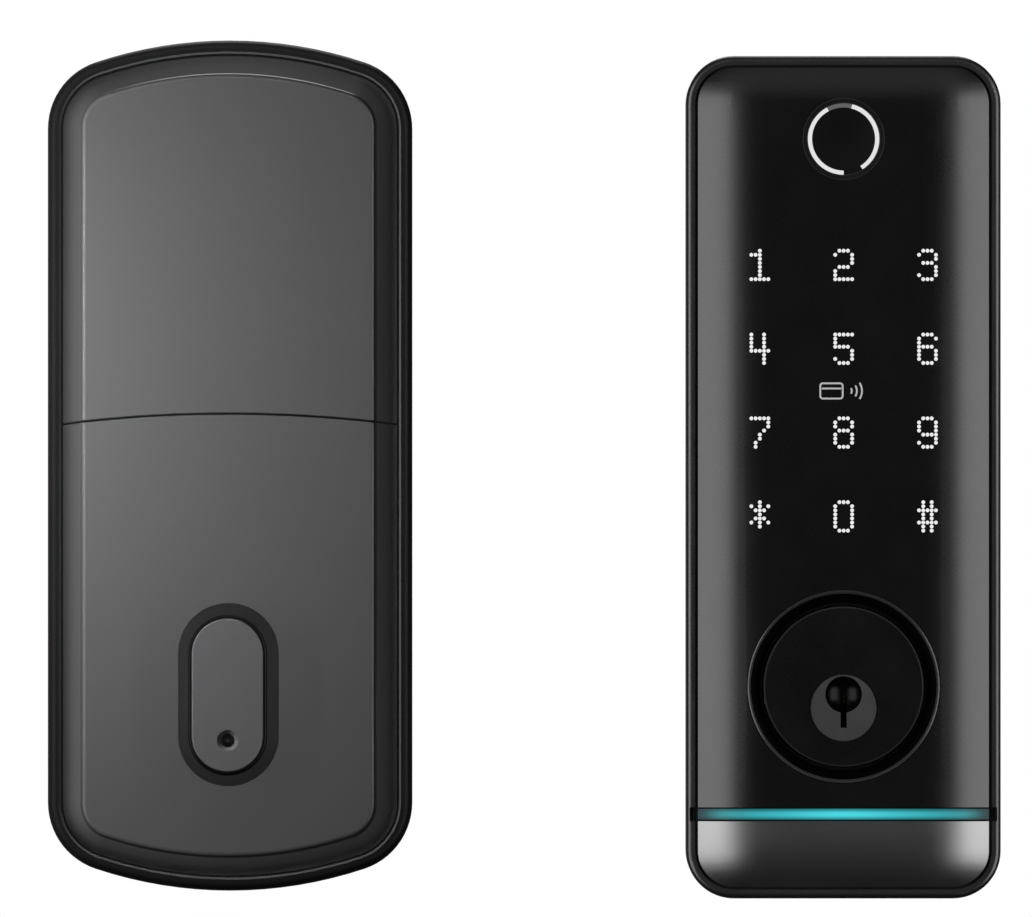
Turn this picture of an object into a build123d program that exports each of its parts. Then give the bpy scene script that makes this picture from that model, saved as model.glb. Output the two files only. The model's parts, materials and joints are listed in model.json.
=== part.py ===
from build123d import *

import os
from math import atan, cos, degrees, radians, sin, sqrt

# Keypad smart lock for a door: an exterior keypad unit and an interior thumbturn unit.
# Both units stand side by side with their backs on the door face, the plane y = 0,
# and look along -Y. The origin is the axis of the key plug, on the door face.
# A depth is a distance in front of the door face, so depth d lies at y = -d.

os.makedirs("parts", exist_ok=True)

# ---- Placement of the two units ----
EXT_CENTER_Z = 45.4
THUMB_X = -121.0
THUMB_Z = 2.7
INT_CENTER_RISE = 45.0
BOLT_OFFSET = 19.0

# ---- Exterior unit: housing and front skin ----
EXT_WIDTH = 62.0
EXT_HEIGHT = 166.0
EXT_CORNER = 9.4
GASKET_THICKNESS = 1.5
GASKET_WIDTH = 2.2
GASKET_INSET = 0.5
BACK_PLATE_THICKNESS = 2.0
BACK_PLATE_FRONT = GASKET_THICKNESS + BACK_PLATE_THICKNESS
EXT_WALL = 2.5
BULKHEAD_BACK = 14.5
BULKHEAD_FRONT = 16.5
FRAME_FRONT = 18.5
FRAME_ROUND = 1.1
FRAME_LIP = 1.8
PANEL_FRONT = 22.0
PANEL_WIDTH = 57.3
PANEL_HEIGHT = 161.3
PANEL_CORNER = 7.05
PILLOW_FLAT = 15.5
PILLOW_SIDE_ROUND = 30.0
PILLOW_TOP_ROUND = 24.0
PILLOW_TOP_OVERHANG = 15.1
PILLOW_FOOT_ROUND = 24.0
PILLOW_FOOT_OVERHANG = 13.0

# ---- Exterior unit: keypad, light bar and lower trim ----
PANEL_BOTTOM_Z = -19.6
BAR_TOP_Z = -19.9
BAR_BOTTOM_Z = -22.0
TRIM_TOP_Z = -22.35
BAR_NOTCH_WIDTH = 60.6
BAR_NOTCH_FLOOR = 16.9
TOUCH_WIDTH = 48.0
TOUCH_BOTTOM_Z = 27.0
TOUCH_TOP_Z = 101.0
TOUCH_FACE = 19.8
TOUCH_THICKNESS = 1.4
TOUCH_BOARD_GAP = 0.5
ANTENNA_THICKNESS = 0.5
BOARD_THICKNESS = 1.6
CONTROL_BOARD_BACK = 8.0
CONTROL_BOARD_WIDTH = 40.0
CONTROL_BOARD_BOTTOM_Z = 31.0
CONTROL_BOARD_TOP_Z = 122.0

# ---- Exterior unit: fingerprint reader ----
READER_Z = 112.0
BEZEL_RADIUS = 8.1
BEZEL_INNER = 7.04
BEZEL_FRONT = 22.15
LIGHT_RING_OUTER = 7.0
LIGHT_RING_INNER = 6.25
LIGHT_RING_FRONT = 22.0
PAD_RADIUS = 6.2
PAD_FRONT = 21.9
PAD_DISH = 0.25
BEZEL_CHAMFER = 0.15
READER_BACK = 17.5

# ---- Exterior unit: lock cylinder ----
COLLAR_Z = 4.2
COLLAR_RADIUS = 19.05
COLLAR_INNER = 16.2
CYLINDER_RADIUS = 15.75
BARREL_RADIUS = 13.5
CYLINDER_REAR = -5.0
EAR_OFFSET = 18.3
EAR_RADIUS = 3.4
EAR_FRONT = 7.0
PLUG_RADIUS = 6.70
PLUG_BORE = 6.75
PLUG_FRONT = 21.7
PLUG_REAR = -8.0
KEYWAY_WIDTH = 1.2
KEYWAY_TOP = 2.4
KEYWAY_BOTTOM = -3.9
KEYWAY_REAR = 0.0
GUIDE_Z = 2.66
GUIDE_RADIUS = 3.6
GUIDE_DEPTH = 2.6
GUIDE_DISH = 1.7
PIN_COUNT = 5
PIN_FIRST_DEPTH = 16.5
PIN_PITCH = 3.6
PIN_RADIUS = 1.2
PIN_CHAMBER = 1.25
KEY_PIN_TOP = 6.5
DRIVER_PIN_BOTTOM = 6.85
DRIVER_PIN_TOP = 10.5
CHAMBER_TOP = 15.0
TAILPIECE_WIDTH = 7.0
TAILPIECE_THICKNESS = 2.2
TAILPIECE_END = -58.0
POST_RADIUS = 4.5
POST_NECK = 3.5
POST_HOLE = 2.1
POST_END = -12.0
POST_FLANGE = 1.0

# ---- Interior unit: outline, case and covers ----
INT_WIDTH = 72.0
INT_CURVE = 84.0
INT_CORNER = 13.8
CASE_BACK = 0.4
PLATE_THICKNESS = 2.0
CASE_FLOOR = 4.0
CASE_FRONT = 6.5
CASE_ROUND = 1.7
RIM_WIDTH = 2.6
RIM_CHAMFER = 0.4
COVER_BACK = 6.8
COVER_FRONT = 30.0
COVER_INSET = 3.05
COVER_TAPER = 9.66
COVER_WALL = 1.8
COVER_ROUND = 1.2
SPLIT_RISE = 55.2
SPLIT_CURVE = 260.0
SPLIT_GAP = 0.3
SPLIT_ROUND = 0.25
COVER_BOSSES = [(-25.5, 46), (25.5, 46), (-24, -20), (24, -20)]
CASE_SCREWS = [(0, -28.5), (-26, 25), (26, 25)]

# ---- Interior unit: thumbturn and gear train ----
SPINDLE_RADIUS = 6.0
SPINDLE_BACK = 0.6
SHAFT_HOLE = 6.4
KNOB_BACK = 30.4
KNOB_FRONT = 43.0
KNOB_SQUARE = 7.0
KNOB_SQUARE_FRONT = 38.0
KNOB_BASE = (36.0, 19.8)
KNOB_FACE = (31.4, 15.4)
KNOB_EDGE_ROUND = 0.5
FACE_PLATE = (30.1, 14.1)
FACE_BACK = 42.4
FACE_FRONT = 43.15
FACE_ROUND = 0.3
MARKER_DROP = 8.9
MARKER_DIMPLE = 2.1
MARKER_FLOOR = 41.6
MARKER_HEIGHT = 0.6
SOCKET_WIDTH = 7.6
SOCKET_THICKNESS = 2.9
SOCKET_DEPTH = 12.0
PRESSURE_ANGLE = 25.0
BACKLASH = 0.10
DRIVE_MODULE = 0.7
MOTOR_MODULE = 0.6
DRIVE_TEETH = 48
IDLER_SMALL_TEETH = 12
IDLER_LARGE_TEETH = 40
PINION_TEETH = 12
IDLER_ANGLE = 125.0
PINION_ANGLE = 60.0
DRIVE_BACK = 19.5
DRIVE_FRONT = 22.5
IDLER_BACK = 19.0
IDLER_STEP = 23.5
IDLER_FRONT = 26.0
IDLER_BORE = 1.55
IDLER_PIN_RADIUS = 1.5
MOTOR_SIZE = (12.0, 10.0)
MOTOR_CORNER = 1.5
MOTOR_BACK = 7.0
MOTOR_FRONT = 22.0
MOTOR_SHAFT = 1.45
PINION_BACK = 23.4
PINION_FRONT = 26.9
PILLARS = [(5.6, 29.0), (-14.5, 33.0)]
MAIN_BOARD_BACK = 5.0

# ---- Interior unit: battery compartment ----
CELL_RADIUS = 7.25
CELL_PITCH = 14.6
CELL_COUNT = 4
CELL_DEPTH = 13.2
CELL_BODY = 49.2
CELL_NUB = 1.3
CELL_NUB_RADIUS = 2.75
TRAY_BOTTOM = 56.2
TRAY_TOP = 114.2
TRAY_WIDTH = 58.8
TRAY_FRONT = 11.0
TRAY_WALL = 1.4
CONTACT_THICKNESS = 0.5
BUTTON_X = 10.0
BUTTON_RISE = 118.3
BUTTON_RADIUS = 1.7


# ---- Planes ----

def door_plane(depth, x=0.0, z=0.0):
    """Plane parallel to the door face at a depth in front of it, seen from the front."""
    return Plane(origin=(x, -depth, z), x_dir=(1, 0, 0), z_dir=(0, -1, 0))


def exterior_plane(depth):
    """Door plane centred on the exterior unit."""
    return door_plane(depth, 0, EXT_CENTER_Z)


def interior_plane(depth):
    """Door plane centred on the interior unit."""
    return door_plane(depth, THUMB_X, THUMB_Z + INT_CENTER_RISE)


def thumb_plane(depth, x=0.0, z=0.0):
    """Door plane centred on the thumbturn axis, or at an offset from it."""
    return door_plane(depth, THUMB_X + x, THUMB_Z + z)


# ---- Plain blocks that several pieces share ----

def rounded_block(plane, width, height, radius, thickness):
    """Rounded rectangle extruded to the front."""
    with BuildPart() as block:
        with BuildSketch(plane):
            RectangleRounded(width, height, radius)
        extrude(amount=thickness)
    return block.part


def plain_block(plane, width, height, thickness):
    """Rectangle extruded to the front."""
    with BuildPart() as block:
        with BuildSketch(plane):
            Rectangle(width, height)
        extrude(amount=thickness)
    return block.part


def disc(plane, radius, thickness):
    """Cylinder that starts at a plane and runs to the front."""
    with BuildPart() as block:
        with BuildSketch(plane):
            Circle(radius)
        extrude(amount=thickness)
    return block.part


def washer(plane, outer_radius, inner_radius, thickness):
    """Flat ring that starts at a plane and runs to the front."""
    with BuildPart() as block:
        with BuildSketch(plane):
            Circle(outer_radius)
            Circle(inner_radius, mode=Mode.SUBTRACT)
        extrude(amount=thickness)
    return block.part


def upright_block(x, depth, z, width, thickness, height):
    """Rectangle parallel to the floor, centred at x and depth, extruded up from z."""
    with BuildPart() as block:
        with BuildSketch(Plane(origin=(x, -depth, z))):
            Rectangle(width, thickness)
        extrude(amount=height)
    return block.part


def upright_rod(x, depth, z, radius, height):
    """Upright cylinder that starts at a height z."""
    with BuildPart() as block:
        with BuildSketch(Plane(origin=(x, -depth, z))):
            Circle(radius)
        extrude(amount=height)
    return block.part


def screw(head_plane, head_radius, head_height, shank_radius, shank_length):
    """Screw with its head behind a plane and its shank in front, with a cross recess."""
    recess = head_radius
    with BuildPart() as body:
        with BuildSketch(head_plane):
            Circle(head_radius)
        extrude(amount=-head_height)
        with BuildSketch(head_plane):
            Circle(shank_radius)
        extrude(amount=shank_length)
        with BuildSketch(head_plane.offset(-head_height)):
            Rectangle(recess, recess / 4)
            Rectangle(recess / 4, recess)
        extrude(amount=head_height / 2, mode=Mode.SUBTRACT)
    return body.part


def interior_outline(depth, inset):
    """Outline of the interior unit: a circle cut by a strip, with rounded corners."""
    with BuildSketch(interior_plane(depth)) as outline:
        Circle(INT_CURVE - inset)
        Rectangle(INT_WIDTH - 2 * inset, 2 * INT_CURVE, mode=Mode.INTERSECT)
        fillet(outline.vertices(), INT_CORNER - inset)
    return outline.sketch


# ---- Gears ----

def involute_angle(radius, base_radius):
    """Angle in degrees that an involute has turned through at a radius."""
    roll = sqrt(max((radius / base_radius) ** 2 - 1, 0))
    return degrees(roll - atan(roll))


def polar(radius, angle):
    """Point at a radius and an angle in degrees."""
    return (radius * cos(radians(angle)), radius * sin(radians(angle)))


def spur_gear(plane, teeth, module, phase, bore, thickness):
    """Involute spur gear with a tooth centred at the phase angle."""
    pitch_radius = module * teeth / 2
    base_radius = pitch_radius * cos(radians(PRESSURE_ANGLE))
    tip_radius = pitch_radius + module
    root_radius = pitch_radius - 1.25 * module
    flank_start = max(base_radius, root_radius)
    pitch_angle = 360 / teeth
    half_tooth = pitch_angle / 4 - degrees(BACKLASH / 2 / pitch_radius)
    base_half = half_tooth + involute_angle(pitch_radius, base_radius)
    flank_radii = [flank_start + (tip_radius - flank_start) * step / 3 for step in range(4)]
    half_angles = [base_half - involute_angle(radius, base_radius) for radius in flank_radii]
    with BuildPart() as gear:
        with BuildSketch(plane):
            Circle(root_radius)
            with BuildSketch(Plane.XY, mode=Mode.PRIVATE) as tooth:
                with BuildLine():
                    left = [polar(r, a) for r, a in zip(flank_radii, half_angles)]
                    right = [polar(r, -a) for r, a in zip(flank_radii, half_angles)]
                    foot_left = polar(root_radius - module / 4, half_angles[0])
                    foot_right = polar(root_radius - module / 4, -half_angles[0])
                    Polyline(foot_right, right[0])
                    Spline(*right)
                    RadiusArc(right[-1], left[-1], -tip_radius)
                    Spline(*reversed(left))
                    Polyline(left[0], foot_left, foot_right)
                make_face()
            with PolarLocations(0, teeth, start_angle=phase):
                add(tooth.sketch)
            Circle(bore, mode=Mode.SUBTRACT)
        extrude(amount=thickness)
    return gear.part


def nearest_tooth_offset(line_angle, phase, teeth):
    """Angle from a line of centres to the closest tooth of a gear."""
    pitch_angle = 360 / teeth
    offset_angle = (phase - line_angle) % pitch_angle
    return offset_angle if offset_angle <= pitch_angle / 2 else offset_angle - pitch_angle


def meshing_phase(line_angle, phase, teeth, mate_teeth):
    """Phase at which a gear meshes with its mate along a line of centres."""
    lead = nearest_tooth_offset(line_angle, phase, teeth)
    return line_angle + 180 - lead * teeth / mate_teeth + 180 / mate_teeth


DRIVE_CENTERS = DRIVE_MODULE * (DRIVE_TEETH + IDLER_SMALL_TEETH) / 2
MOTOR_CENTERS = MOTOR_MODULE * (IDLER_LARGE_TEETH + PINION_TEETH) / 2
IDLER_X, IDLER_RISE = polar(DRIVE_CENTERS, IDLER_ANGLE)
PINION_X = IDLER_X + polar(MOTOR_CENTERS, PINION_ANGLE)[0]
PINION_RISE = IDLER_RISE + polar(MOTOR_CENTERS, PINION_ANGLE)[1]
IDLER_SMALL_PHASE = meshing_phase(IDLER_ANGLE, 0, DRIVE_TEETH, IDLER_SMALL_TEETH)
PINION_PHASE = meshing_phase(PINION_ANGLE, 0, IDLER_LARGE_TEETH, PINION_TEETH)


# ======== Exterior unit ========

HOUSING_BOSS_RADIUS = 3.0
HOUSING_BOSS_X = 23.5
HOUSING_BOSS_RISE = 74.5
HOUSING_BOSSES = [(x, z) for x in (-HOUSING_BOSS_X, HOUSING_BOSS_X)
                  for z in (-HOUSING_BOSS_RISE, HOUSING_BOSS_RISE)]
BOARD_POST_RADIUS = 2.2
BOARD_POSTS = [(x, z) for x in (-17.0, 17.0) for z in (36.0, 100.0)]
BAR_WINDOW = (50.0, 1.8)
CABLE_WINDOW = (20.0, 3.0)
CABLE_WINDOW_Z = 40.0
CYLINDER_GAP = 0.25
READER_GAP = 0.4
USB_POST_RADIUS = 1.8
USB_POSTS = [(-6.0, -27.0), (6.0, -27.0)]
USB_DEPTH = 8.0
USB_GAP = 0.15
USB_SHELL = 0.35
USB_TONGUE = (6.6, 0.7)
USB_TONGUE_RECESS = 0.8
USB_BACK_WALL = 1.0
USB_SIZE = (8.94, 3.26)
USB_BOTTOM_Z = -37.5
USB_TOP_Z = -30.1
USB_BOARD_FRONT = USB_DEPTH - USB_SIZE[1] / 2
USB_BOARD_THICKNESS = 1.2
GROMMET_X = -12.0
GROMMET_Z = 19.5
GROMMET_NECK = 2.6
GROMMET_RADIUS = 3.3
GROMMET_LIP = 0.8
GROMMET_BORE = 1.6
SCREW_HOLE = 1.4
SCREW_HEAD = 2.6
SCREW_HEAD_HEIGHT = 1.3
CYLINDER_SCREW_LENGTH = 4.8
CASE_SCREW_LENGTH = 8.0

# Rubber gasket between the exterior unit and the door.
with BuildPart() as ext_gasket:
    with BuildSketch(exterior_plane(0)):
        RectangleRounded(EXT_WIDTH - 2 * GASKET_INSET, EXT_HEIGHT - 2 * GASKET_INSET,
                         EXT_CORNER - GASKET_INSET)
        offset(amount=-GASKET_WIDTH, mode=Mode.SUBTRACT)
    extrude(amount=GASKET_THICKNESS)
ext_gasket.part.label = "ext_gasket"
export_step(ext_gasket.part, "parts/ext_gasket.step")

# Steel back plate, with holes for the cylinder barrel, the posts, the screws and the cable.
BACK_PLATE_GAP = 0.2
with BuildPart() as ext_back_plate:
    plate_inset = EXT_WALL + BACK_PLATE_GAP
    with BuildSketch(exterior_plane(GASKET_THICKNESS)):
        RectangleRounded(EXT_WIDTH - 2 * plate_inset, EXT_HEIGHT - 2 * plate_inset,
                         EXT_CORNER - plate_inset)
        with Locations(*HOUSING_BOSSES):
            Circle(SCREW_HOLE + 0.2, mode=Mode.SUBTRACT)
    extrude(amount=BACK_PLATE_THICKNESS)
    with BuildSketch(door_plane(GASKET_THICKNESS)):
        with Locations((0, COLLAR_Z)):
            Circle(BARREL_RADIUS + 0.4)
        with Locations((-BOLT_OFFSET, 0), (BOLT_OFFSET, 0)):
            Circle(POST_NECK)
        with Locations((0, COLLAR_Z - EAR_OFFSET), (0, COLLAR_Z + EAR_OFFSET)):
            Circle(SCREW_HOLE + 0.2)
        with Locations((GROMMET_X, GROMMET_Z)):
            Circle(GROMMET_NECK)
    extrude(amount=BACK_PLATE_THICKNESS, mode=Mode.SUBTRACT)
ext_back_plate.part.label = "ext_back_plate"
export_step(ext_back_plate.part, "parts/ext_back_plate.step")

# Two tapped posts, staked into the back plate, that take the through-bolts.
with BuildPart() as bolt_posts:
    for side in (-BOLT_OFFSET, BOLT_OFFSET):
        add(disc(door_plane(POST_END, side), POST_RADIUS, GASKET_THICKNESS - POST_END))
        add(disc(door_plane(GASKET_THICKNESS, side), POST_NECK, BACK_PLATE_THICKNESS))
        add(disc(door_plane(BACK_PLATE_FRONT, side), POST_RADIUS, POST_FLANGE))
    with BuildSketch(door_plane(POST_END)):
        with Locations((-BOLT_OFFSET, 0), (BOLT_OFFSET, 0)):
            Circle(POST_HOLE)
    extrude(amount=BACK_PLATE_FRONT + POST_FLANGE - POST_END, mode=Mode.SUBTRACT)
bolt_posts.part.label = "bolt_posts"
export_step(bolt_posts.part, "parts/bolt_posts.step")

# Metal housing: a rounded frame with a bulkhead that carries the front skin.
with BuildPart() as ext_housing:
    add(rounded_block(exterior_plane(GASKET_THICKNESS), EXT_WIDTH, EXT_HEIGHT, EXT_CORNER,
                      FRAME_FRONT - GASKET_THICKNESS))
    fillet(ext_housing.faces().sort_by(Axis.Y)[0].edges(), FRAME_ROUND)
    add(rounded_block(exterior_plane(BULKHEAD_FRONT), EXT_WIDTH - 2 * FRAME_LIP,
                      EXT_HEIGHT - 2 * FRAME_LIP, EXT_CORNER - FRAME_LIP,
                      FRAME_FRONT - BULKHEAD_FRONT), mode=Mode.SUBTRACT)
    add(rounded_block(exterior_plane(GASKET_THICKNESS), EXT_WIDTH - 2 * EXT_WALL,
                      EXT_HEIGHT - 2 * EXT_WALL, EXT_CORNER - EXT_WALL,
                      BULKHEAD_BACK - GASKET_THICKNESS), mode=Mode.SUBTRACT)
    with BuildSketch(exterior_plane(BACK_PLATE_FRONT)):
        with Locations(*HOUSING_BOSSES):
            Circle(HOUSING_BOSS_RADIUS)
            Circle(SCREW_HOLE, mode=Mode.SUBTRACT)
    extrude(amount=BULKHEAD_BACK - BACK_PLATE_FRONT)
    with BuildSketch(door_plane(CONTROL_BOARD_BACK + BOARD_THICKNESS)):
        with Locations(*BOARD_POSTS):
            Circle(BOARD_POST_RADIUS)
    extrude(amount=BULKHEAD_BACK - CONTROL_BOARD_BACK - BOARD_THICKNESS)
    with BuildSketch(door_plane(USB_BOARD_FRONT)):
        with Locations(*USB_POSTS):
            Circle(USB_POST_RADIUS)
    extrude(amount=BULKHEAD_BACK - USB_BOARD_FRONT)
    with BuildSketch(door_plane(BULKHEAD_BACK)):
        with Locations((0, COLLAR_Z)):
            Circle(CYLINDER_RADIUS + CYLINDER_GAP)
        with Locations((0, READER_Z)):
            Circle(PAD_RADIUS + READER_GAP)
        with Locations((0, (BAR_TOP_Z + BAR_BOTTOM_Z) / 2)):
            Rectangle(*BAR_WINDOW)
        with Locations((0, CABLE_WINDOW_Z)):
            SlotOverall(*CABLE_WINDOW)
    extrude(amount=BULKHEAD_FRONT - BULKHEAD_BACK, mode=Mode.SUBTRACT)
    with BuildSketch(door_plane(BAR_NOTCH_FLOOR)):
        with Locations((0, (PANEL_BOTTOM_Z + TRIM_TOP_Z) / 2)):
            Rectangle(BAR_NOTCH_WIDTH, PANEL_BOTTOM_Z - TRIM_TOP_Z)
    extrude(amount=FRAME_FRONT - BAR_NOTCH_FLOOR, mode=Mode.SUBTRACT)
    with BuildSketch(Plane(origin=(0, -USB_DEPTH, EXT_CENTER_Z - EXT_HEIGHT / 2))):
        SlotOverall(USB_SIZE[0] + 2 * USB_GAP, USB_SIZE[1] + 2 * USB_GAP)
    extrude(amount=EXT_WALL + 0.5, mode=Mode.SUBTRACT)
ext_housing.part.label = "ext_housing"
export_step(ext_housing.part, "parts/ext_housing.step")

# The front skin is one gentle pillow, cut into the keypad panel, the light bar and the trim.
# It curves widely towards both sides and more gently over both ends.
PILLOW_BACK = PANEL_FRONT - PILLOW_SIDE_ROUND - 1.0
PILLOW_FOOT_Z = EXT_CENTER_Z - PANEL_HEIGHT / 2 - PILLOW_FOOT_OVERHANG
PILLOW_TOP_Z = EXT_CENTER_Z + PANEL_HEIGHT / 2 + PILLOW_TOP_OVERHANG
with BuildPart() as pillow:
    with BuildSketch(Plane(origin=(0, -(PANEL_FRONT + PILLOW_BACK) / 2, PILLOW_FOOT_Z))) as section:
        Rectangle(2 * (PILLOW_FLAT + PILLOW_SIDE_ROUND), PANEL_FRONT - PILLOW_BACK)
        fillet(section.vertices().group_by(Axis.Y)[0], PILLOW_SIDE_ROUND)
    extrude(amount=PILLOW_TOP_Z - PILLOW_FOOT_Z)
    front_edges = [edge for edge in pillow.edges().filter_by(Plane.XY)
                   if edge.center().Y < -PILLOW_BACK - 1.0]
    fillet([edge for edge in front_edges if edge.center().Z > EXT_CENTER_Z], PILLOW_TOP_ROUND)
    front_edges = [edge for edge in pillow.edges().filter_by(Plane.XY)
                   if edge.center().Y < -PILLOW_BACK - 1.0 and edge.center().Z < PILLOW_FOOT_Z + 0.1]
    fillet(front_edges, PILLOW_FOOT_ROUND)
    add(rounded_block(exterior_plane(BULKHEAD_FRONT), PANEL_WIDTH, PANEL_HEIGHT, PANEL_CORNER,
                      PANEL_FRONT - BULKHEAD_FRONT), mode=Mode.INTERSECT)

# Glossy keypad panel, with a pocket for the touch board and holes for reader and collar.
with BuildPart() as touch_panel:
    add(pillow.part)
    split(bisect_by=Plane.XY.offset(PANEL_BOTTOM_Z), keep=Keep.TOP)
    add(plain_block(door_plane(BULKHEAD_FRONT, 0, (TOUCH_BOTTOM_Z + TOUCH_TOP_Z) / 2),
                    TOUCH_WIDTH, TOUCH_TOP_Z - TOUCH_BOTTOM_Z,
                    TOUCH_FACE - BULKHEAD_FRONT), mode=Mode.SUBTRACT)
    with BuildSketch(door_plane(BULKHEAD_FRONT)):
        with Locations((0, COLLAR_Z)):
            Circle(COLLAR_RADIUS + 0.05)
        with Locations((0, READER_Z)):
            Circle(BEZEL_RADIUS + 0.05)
    extrude(amount=PANEL_FRONT - BULKHEAD_FRONT, mode=Mode.SUBTRACT)
touch_panel.part.label = "touch_panel"
export_step(touch_panel.part, "parts/touch_panel.step")

# Translucent light bar across the foot of the keypad panel.
with BuildPart() as light_bar:
    add(pillow.part)
    split(bisect_by=Plane.XY.offset(BAR_BOTTOM_Z), keep=Keep.TOP)
    split(bisect_by=Plane.XY.offset(BAR_TOP_Z), keep=Keep.BOTTOM)
light_bar.part.label = "light_bar"
export_step(light_bar.part, "parts/light_bar.step")

# Satin metal trim that closes the lower end of the front.
with BuildPart() as lower_trim:
    add(pillow.part)
    split(bisect_by=Plane.XY.offset(TRIM_TOP_Z), keep=Keep.BOTTOM)
lower_trim.part.label = "lower_trim"
export_step(lower_trim.part, "parts/lower_trim.step")

# Fingerprint reader: outer bezel, light ring, sensor pad and the module behind them.
with BuildPart() as fingerprint_bezel:
    add(washer(door_plane(BULKHEAD_FRONT, 0, READER_Z), BEZEL_RADIUS, BEZEL_INNER,
               BEZEL_FRONT - BULKHEAD_FRONT))
    chamfer(fingerprint_bezel.faces().sort_by(Axis.Y)[0].edges(), BEZEL_CHAMFER)
fingerprint_bezel.part.label = "fingerprint_bezel"
export_step(fingerprint_bezel.part, "parts/fingerprint_bezel.step")

with BuildPart() as fingerprint_light_ring:
    add(washer(door_plane(READER_BACK, 0, READER_Z), LIGHT_RING_OUTER, LIGHT_RING_INNER,
               LIGHT_RING_FRONT - READER_BACK))
fingerprint_light_ring.part.label = "fingerprint_light_ring"
export_step(fingerprint_light_ring.part, "parts/fingerprint_light_ring.step")

dish_sphere = (PAD_RADIUS ** 2 + PAD_DISH ** 2) / (2 * PAD_DISH)
with BuildPart() as fingerprint_pad:
    add(disc(door_plane(READER_BACK, 0, READER_Z), PAD_RADIUS, PAD_FRONT - READER_BACK))
    with Locations((0, -(PAD_FRONT + dish_sphere - PAD_DISH), READER_Z)):
        Sphere(dish_sphere, mode=Mode.SUBTRACT)
fingerprint_pad.part.label = "fingerprint_pad"
export_step(fingerprint_pad.part, "parts/fingerprint_pad.step")

MODULE_BACK = CONTROL_BOARD_BACK + BOARD_THICKNESS
MODULE_SIZE = 17.0
MODULE_CORNER = 2.0
MODULE_FRONT = MODULE_BACK + 2.4
with BuildPart() as fingerprint_module:
    add(rounded_block(door_plane(MODULE_BACK, 0, READER_Z), MODULE_SIZE, MODULE_SIZE,
                      MODULE_CORNER, MODULE_FRONT - MODULE_BACK))
    add(disc(door_plane(MODULE_FRONT, 0, READER_Z), PAD_RADIUS, READER_BACK - MODULE_FRONT))
    add(washer(door_plane(BULKHEAD_FRONT, 0, READER_Z), LIGHT_RING_OUTER, PAD_RADIUS - 0.5,
               READER_BACK - BULKHEAD_FRONT))
fingerprint_module.part.label = "fingerprint_module"
export_step(fingerprint_module.part, "parts/fingerprint_module.step")

# Touch board bonded behind the keypad panel, and the card antenna behind it.
TOUCH_CENTER_Z = (TOUCH_BOTTOM_Z + TOUCH_TOP_Z) / 2
with BuildPart() as touch_board:
    add(plain_block(door_plane(TOUCH_FACE - TOUCH_THICKNESS, 0, TOUCH_CENTER_Z),
                    TOUCH_WIDTH - 2 * TOUCH_BOARD_GAP,
                    TOUCH_TOP_Z - TOUCH_BOTTOM_Z - 2 * TOUCH_BOARD_GAP, TOUCH_THICKNESS))
touch_board.part.label = "touch_board"
export_step(touch_board.part, "parts/touch_board.step")

ANTENNA_WIDTH = 44.0
ANTENNA_HEIGHT = 58.0
ANTENNA_TRACK = 1.0
ANTENNA_TURNS = 3
ANTENNA_CORNER = 4.0
with BuildPart() as card_antenna:
    with BuildSketch(door_plane(TOUCH_FACE - TOUCH_THICKNESS - ANTENNA_THICKNESS, 0,
                                TOUCH_CENTER_Z)):
        for turn in range(ANTENNA_TURNS):
            step = 4 * ANTENNA_TRACK * turn
            RectangleRounded(ANTENNA_WIDTH - step, ANTENNA_HEIGHT - step, ANTENNA_CORNER)
            RectangleRounded(ANTENNA_WIDTH - step - 2 * ANTENNA_TRACK,
                             ANTENNA_HEIGHT - step - 2 * ANTENNA_TRACK,
                             ANTENNA_CORNER - ANTENNA_TRACK, mode=Mode.SUBTRACT)
        with Locations((0, -(ANTENNA_HEIGHT / 2 - 3 * ANTENNA_TRACK))):
            Rectangle(2 * ANTENNA_TRACK, 6 * ANTENNA_TRACK)
    extrude(amount=ANTENNA_THICKNESS)
card_antenna.part.label = "card_antenna"
export_step(card_antenna.part, "parts/card_antenna.step")

# Control board on the housing posts, with a shield can, a processor and a cable socket.
CONTROL_CENTER_Z = (CONTROL_BOARD_BOTTOM_Z + CONTROL_BOARD_TOP_Z) / 2
CONTROL_CORNER = 2.0
SHIELD_CAN = (16.0, 12.0, 1.8)
SHIELD_PLACE = (-6, 78)
PROCESSOR = (8.0, 8.0, 1.0)
PROCESSOR_PLACE = (10, 60)
CABLE_PLUG = (12.0, 5.0, 3.5)
CABLE_PLUG_PLACE = (0, 38)
with BuildPart() as ext_control_board:
    add(rounded_block(door_plane(CONTROL_BOARD_BACK, 0, CONTROL_CENTER_Z),
                      CONTROL_BOARD_WIDTH, CONTROL_BOARD_TOP_Z - CONTROL_BOARD_BOTTOM_Z,
                      CONTROL_CORNER, BOARD_THICKNESS))
    add(plain_block(door_plane(MODULE_BACK, *SHIELD_PLACE), *SHIELD_CAN))
    add(plain_block(door_plane(MODULE_BACK, *PROCESSOR_PLACE), *PROCESSOR))
    add(plain_block(door_plane(CONTROL_BOARD_BACK - CABLE_PLUG[2], *CABLE_PLUG_PLACE),
                    *CABLE_PLUG))
ext_control_board.part.label = "ext_control_board"
export_step(ext_control_board.part, "parts/ext_control_board.step")

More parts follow.
